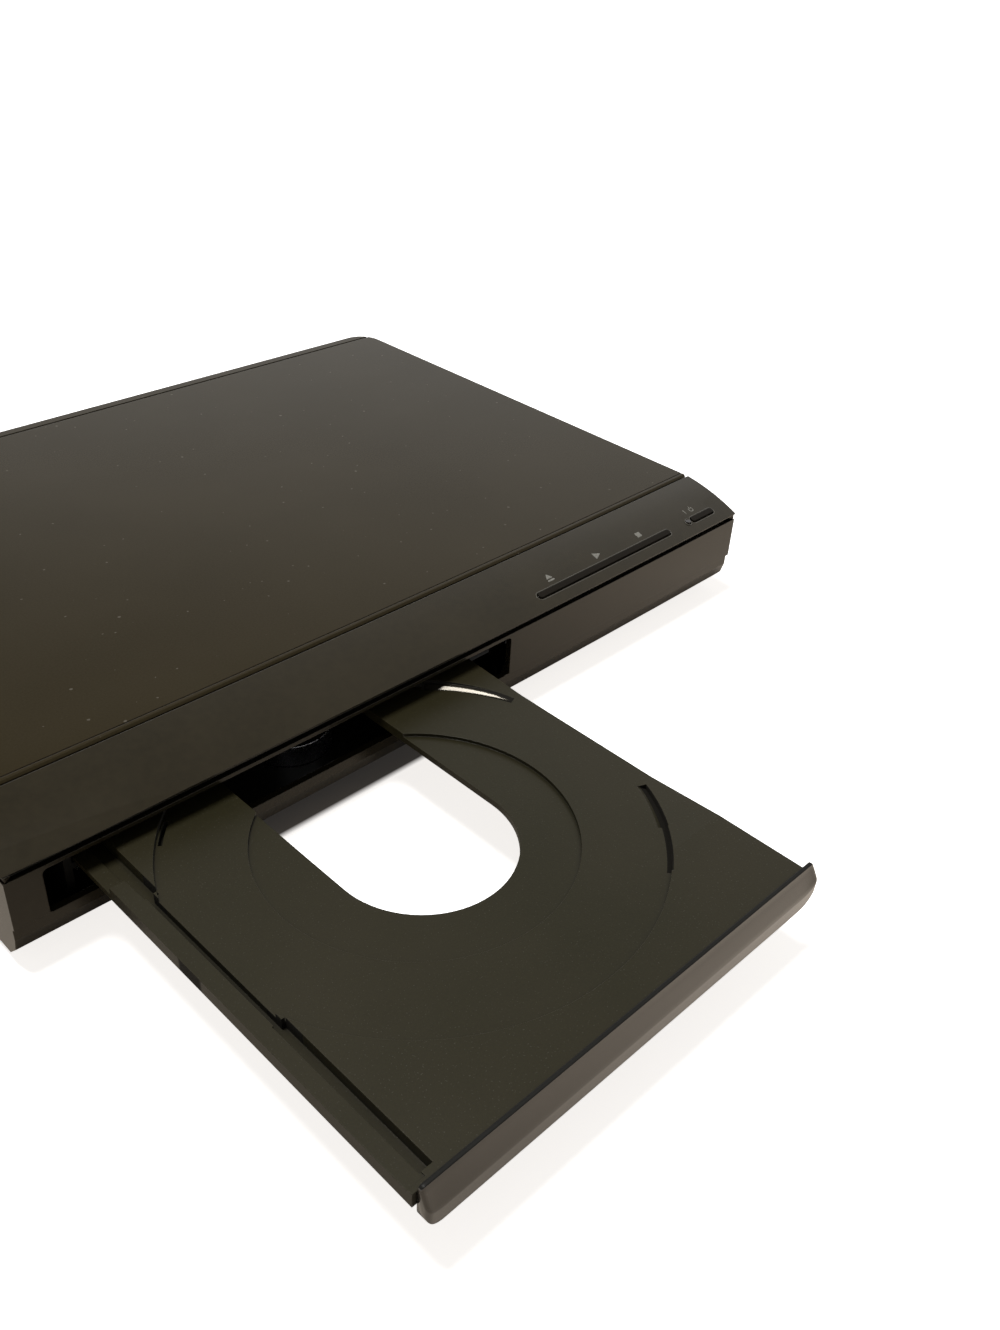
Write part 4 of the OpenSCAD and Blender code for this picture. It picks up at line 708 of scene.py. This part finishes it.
def rim(name, x0, half_bar, radius, half_w, high):
    """A ring on the strip. Its middle line is a bar of half length half_bar with half-circle ends of the given
    radius, and its section is a half ellipse, half_w to each side and high above, closed at rim_foot under the
    surface."""
    side_n, end_n = 24, 20
    a = np.linspace(-math.pi / 2, math.pi / 2, end_n)
    line = np.linspace(-half_bar, half_bar, side_n + 2)[1:-1]
    angle = np.concatenate([a, np.full(side_n, math.pi / 2), a + math.pi, np.full(side_n, -math.pi / 2)])
    along = np.concatenate([np.full(end_n, half_bar), line[::-1], np.full(end_n, -half_bar), line])
    if not half_bar:
        angle, along = np.linspace(0, 2 * math.pi, 40, endpoint=False), np.zeros(40)
    t = np.linspace(0, math.pi, 9)
    out = np.concatenate([half_w * np.cos(t), [-half_w, half_w, half_w]])
    lift = np.concatenate([high * np.sin(t), [rim_foot, rim_foot, 0]])
    r = radius + out[None, :]
    x = x0 + along[:, None] + r * np.cos(angle)[:, None]
    p = key_p + r * np.sin(angle)[:, None]
    made = grid_mesh(name, on_strip(x, p, np.broadcast_to(lift, x.shape)), rim_finish, wrap_u=True)
    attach(made, "housing")
    return made


rim("key_bar_rim", 70.99, 64.01 / 2 - key_r, 1.42, 0.2, 0.12)
rim("power_key_rim", 121.21, 11.6 / 2 - key_r, 1.42, 0.2, 0.12)
rim("standby_lamp_rim", 113.40, 0, 1.22, 0.24, 0.3)

# %% [markdown]
# ## Ends of the groove under the lip
# The groove that runs under the lip stops just short of the panel's ends, where the moulding closes
# it with a soft corner. Each stop is a short plug whose section, a slot shape with a rounded front,
# swells from nothing a little way in to full size at the panel's end.

# %% Groove ends
groove_end_x, groove_mid_p, groove_mid_z = half_width - 0.35, 1.15, 31.2
plug_long, plug_deep, plug_high = 2.2, 1.05, 0.97


def soft_square(value):
    """A coordinate of a superellipse with the fourth power: the root of a sine or cosine, its sign kept."""
    return np.sign(value) * np.abs(value) ** 0.5


def groove_end(name, side):
    """A plug along x, plug_long, up to the groove's end. Its section is a superellipse about the groove's
    middle, scaled by the square root of the way along, and a last point closes it flat."""
    along = np.linspace(0, 1, 14)[:, None]
    t = np.linspace(0, 2 * math.pi, 40, endpoint=False)[None, :]
    size = np.sqrt(along) * np.where(along == 1, 0.0, 1.0)
    x = side * (groove_end_x - plug_long * (1 - along)) + 0 * t
    y = front_y + groove_mid_p - bulge(x) + plug_deep * soft_square(np.cos(t)) * size
    z = groove_mid_z + plug_high * soft_square(np.sin(t)) * size
    made = grid_mesh(name, np.stack([x, y, z], -1).transpose(1, 0, 2), panel, wrap_u=True)
    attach(made, "housing")
    return made


groove_end("groove_end_right", 1)
groove_end("groove_end_left", -1)
print("groove ends at x in mm:", groove_end_x)

# %% [markdown]
# ## The tray's front strip
# The strip that closes the opening when the tray is in is moulded as one soft bar, so light rolls over its soft
# edges. A solid shows facets there, so it is drawn again as one surface: a section with a narrow top, a face
# that slopes forward and an upright one below it, carried along the strip and drawn in near the ends so that
# the corners are round. Only its faces are polished: whatever looks up is matt and darker, as a second material
# chosen by the face's direction, and that darker colour on top is a painted shade. It fills the box of the
# solid that it replaces.

# %% Front strip
def front_strip(name, low, high, lower_r=(4.2, 6.5), upper_r=1.3, plan_r=1.2):
    """Its section runs forward along a narrow top, turns down by a small quarter circle, slopes forward to a
    knee two fifths up, falls nearly upright below it, and turns under by another. Near an end, at distance e,
    the bottom rises, the top drops and the front recedes along quarter circles, and the last station shrinks
    to a point, which closes the end flat. The bottom's radius differs from left to right."""
    deep, tall = high[1] - low[1], high[2] - low[2]
    half = (high[0] - low[0]) / 2
    e = np.concatenate([[0, 0, 0.02], np.geomspace(0.06, 7, 16), [12, 30]])
    side = np.concatenate([-np.ones_like(e), [0], np.ones_like(e)])
    e = np.concatenate([e, [half], e[::-1]])

    def quarter(r):
        """How far a quarter circle of radius r is drawn in at distance e from the end."""
        return r - np.sqrt(np.clip(r ** 2 - (r - np.minimum(e, r)) ** 2, 0, None))

    bottom = low[2] + np.where(side > 0, quarter(lower_r[1]), quarter(lower_r[0]))
    top = high[2] - quarter(upper_r)
    depth = deep - quarter(plan_r)
    a = np.linspace(0, math.pi / 2, 7)
    brow, brow_r, knee, hem_r = 1.05, 0.35, 0.42 * tall, 0.5
    lean = knee * math.tan(math.radians(1))
    slope = np.linspace(0, 1, 6)[1:]
    under = np.array([0.08, 0.2, 0.6, 0.92])
    forward = np.concatenate([[0, 0.3], brow - brow_r + brow_r * np.sin(a), brow + (deep - brow) * slope ** 0.9,
                              deep - lean * under, deep - lean - hem_r + hem_r * np.cos(a), [0]])
    height = np.concatenate([[tall, tall], tall - brow_r + brow_r * np.cos(a),
                             tall - brow_r - (tall - brow_r - knee) * slope,
                             knee - (knee - hem_r) * under, hem_r - hem_r * np.sin(a), [0]])
    full = np.ones_like(e)
    full[[0, -1]] = 0
    mid, reach = (bottom + top) / 2, top - bottom
    x = (low[0] + high[0]) / 2 + side * (half - e)
    z = mid[:, None] + (reach * full)[:, None] * (height / tall - 0.5)[None, :]
    y = high[1] - (depth / 2)[:, None] - (depth * full)[:, None] * (forward / deep - 0.5)[None, :]
    points = np.stack([np.broadcast_to(x[:, None], z.shape), y, z], -1)
    made = grid_mesh(name, points.transpose(1, 0, 2), tray_gloss, wrap_u=True)
    # Painted shade: faces that look up get the darker, matt loader plastic.
    made.data.materials.append(loader)
    facing = np.empty(3 * len(made.data.polygons), np.float32)
    made.data.polygons.foreach_get("normal", facing)
    painted_shade_on_top = facing[2::3] > 0.6
    made.data.polygons.foreach_set("material_index", painted_shade_on_top.astype(np.int32))
    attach(made, "tray")
    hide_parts("tray_front")
    return made


low, high = (1000 * np.array(corner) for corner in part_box("tray_front"))
strip = front_strip("front_strip", low, high)
print("front strip in mm:", (high - low).round(2), "faces:", len(strip.data.polygons))

# %% [markdown]
# ## The polished ramp under a disc's edge
# A fingertip and many discs slide over the sloping arc at the tray's right rear, so it is smoother
# than the pebbled tray and mirrors the lamp in one long glint. It is a thin skin on the solid's
# ramp: radius and height both run evenly across it, and the angle runs along it. It lies close at
# its ends and bows up by about a fifth of a millimetre between them, which spreads the glint along
# the whole arc. The skin has an underside too, so it is closed.

# %% Ramp skin
ramp_gloss = plastic("ramp_polish", (0.03, 0.026, 0.018), 0.2, 0.36, grain_mm=1.2, grain_h=0.003, edge=0.1,
                     Specular_Tint=(1, 0.92, 0.78, 1))
recess_z, recess_deep, ramp_foot_r, ramp_rise, ramp_run = 24.1, 1.2, 61.2, 1.5, 2.6
corner_rise, corner_from, corner_over = 1.2, 24, 22
skin_lift, skin_sunk, skin_bow, skin_wide = 0.07, 0.15, 0.3, 0.9


def ramp_skin(name, a0, a1):
    """An arc from angle a0 to a1 about the disc's centre. It slopes outwards from ramp_foot_r, rising ramp_rise
    in every ramp_run, up to the tray's top, which itself rises towards the corner. It narrows to a point at the
    near end by the square root of the way, and quickly at the far end. Its top is skin_lift above the ramp and
    bows up by skin_bow, its underside is skin_sunk below it, and all three shrink with its width."""
    u = np.linspace(-1, 1, 60)[:, None]
    angle = np.radians((a0 + a1) / 2 + u * (a1 - a0) / 2)
    tray_top = recess_z + corner_rise * np.clip((63 * np.sin(angle) - corner_from) / corner_over, 0, 1)
    foot_z = recess_z - recess_deep + 0.1 * ramp_rise / ramp_run
    head_z = np.minimum(recess_z + 0.24, tray_top - 0.03)
    head_r = ramp_foot_r + (head_z - foot_z) * ramp_run / ramp_rise
    narrow = skin_wide * np.sqrt(np.clip((u + 1) / 2, 0, 1)) * (1 - np.clip((u - 0.94) / 0.06, 0, 1) ** 2)
    across = np.array([0, 0.25, 0.5, 0.75, 1, 1, 0.5, 0, 0])[None, :]
    on_top = np.array([1] * 5 + [0] * 3 + [1])[None, :]
    above = np.where(on_top == 1, skin_lift, -skin_sunk) + skin_bow * (1 - u ** 2) * on_top
    v = 0.5 + (across - 0.5) * narrow
    radius = ramp_foot_r + v * (head_r - ramp_foot_r)
    height = foot_z + v * (head_z - foot_z) + above * narrow
    x, y = disc_centre[0] + radius * np.cos(angle), disc_centre[1] + radius * np.sin(angle)
    made = grid_mesh(name, np.stack([x, y, height], -1), ramp_gloss)
    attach(made, "tray")
    return made


ramp_from, ramp_to = 23.2, 46.5
ramp_skin("ramp_polish_rear", ramp_from, ramp_to)
skin_mid_r = ramp_foot_r + ramp_run / 2
print("ramp skin length in mm:", round(skin_mid_r * math.radians(ramp_to - ramp_from), 1))
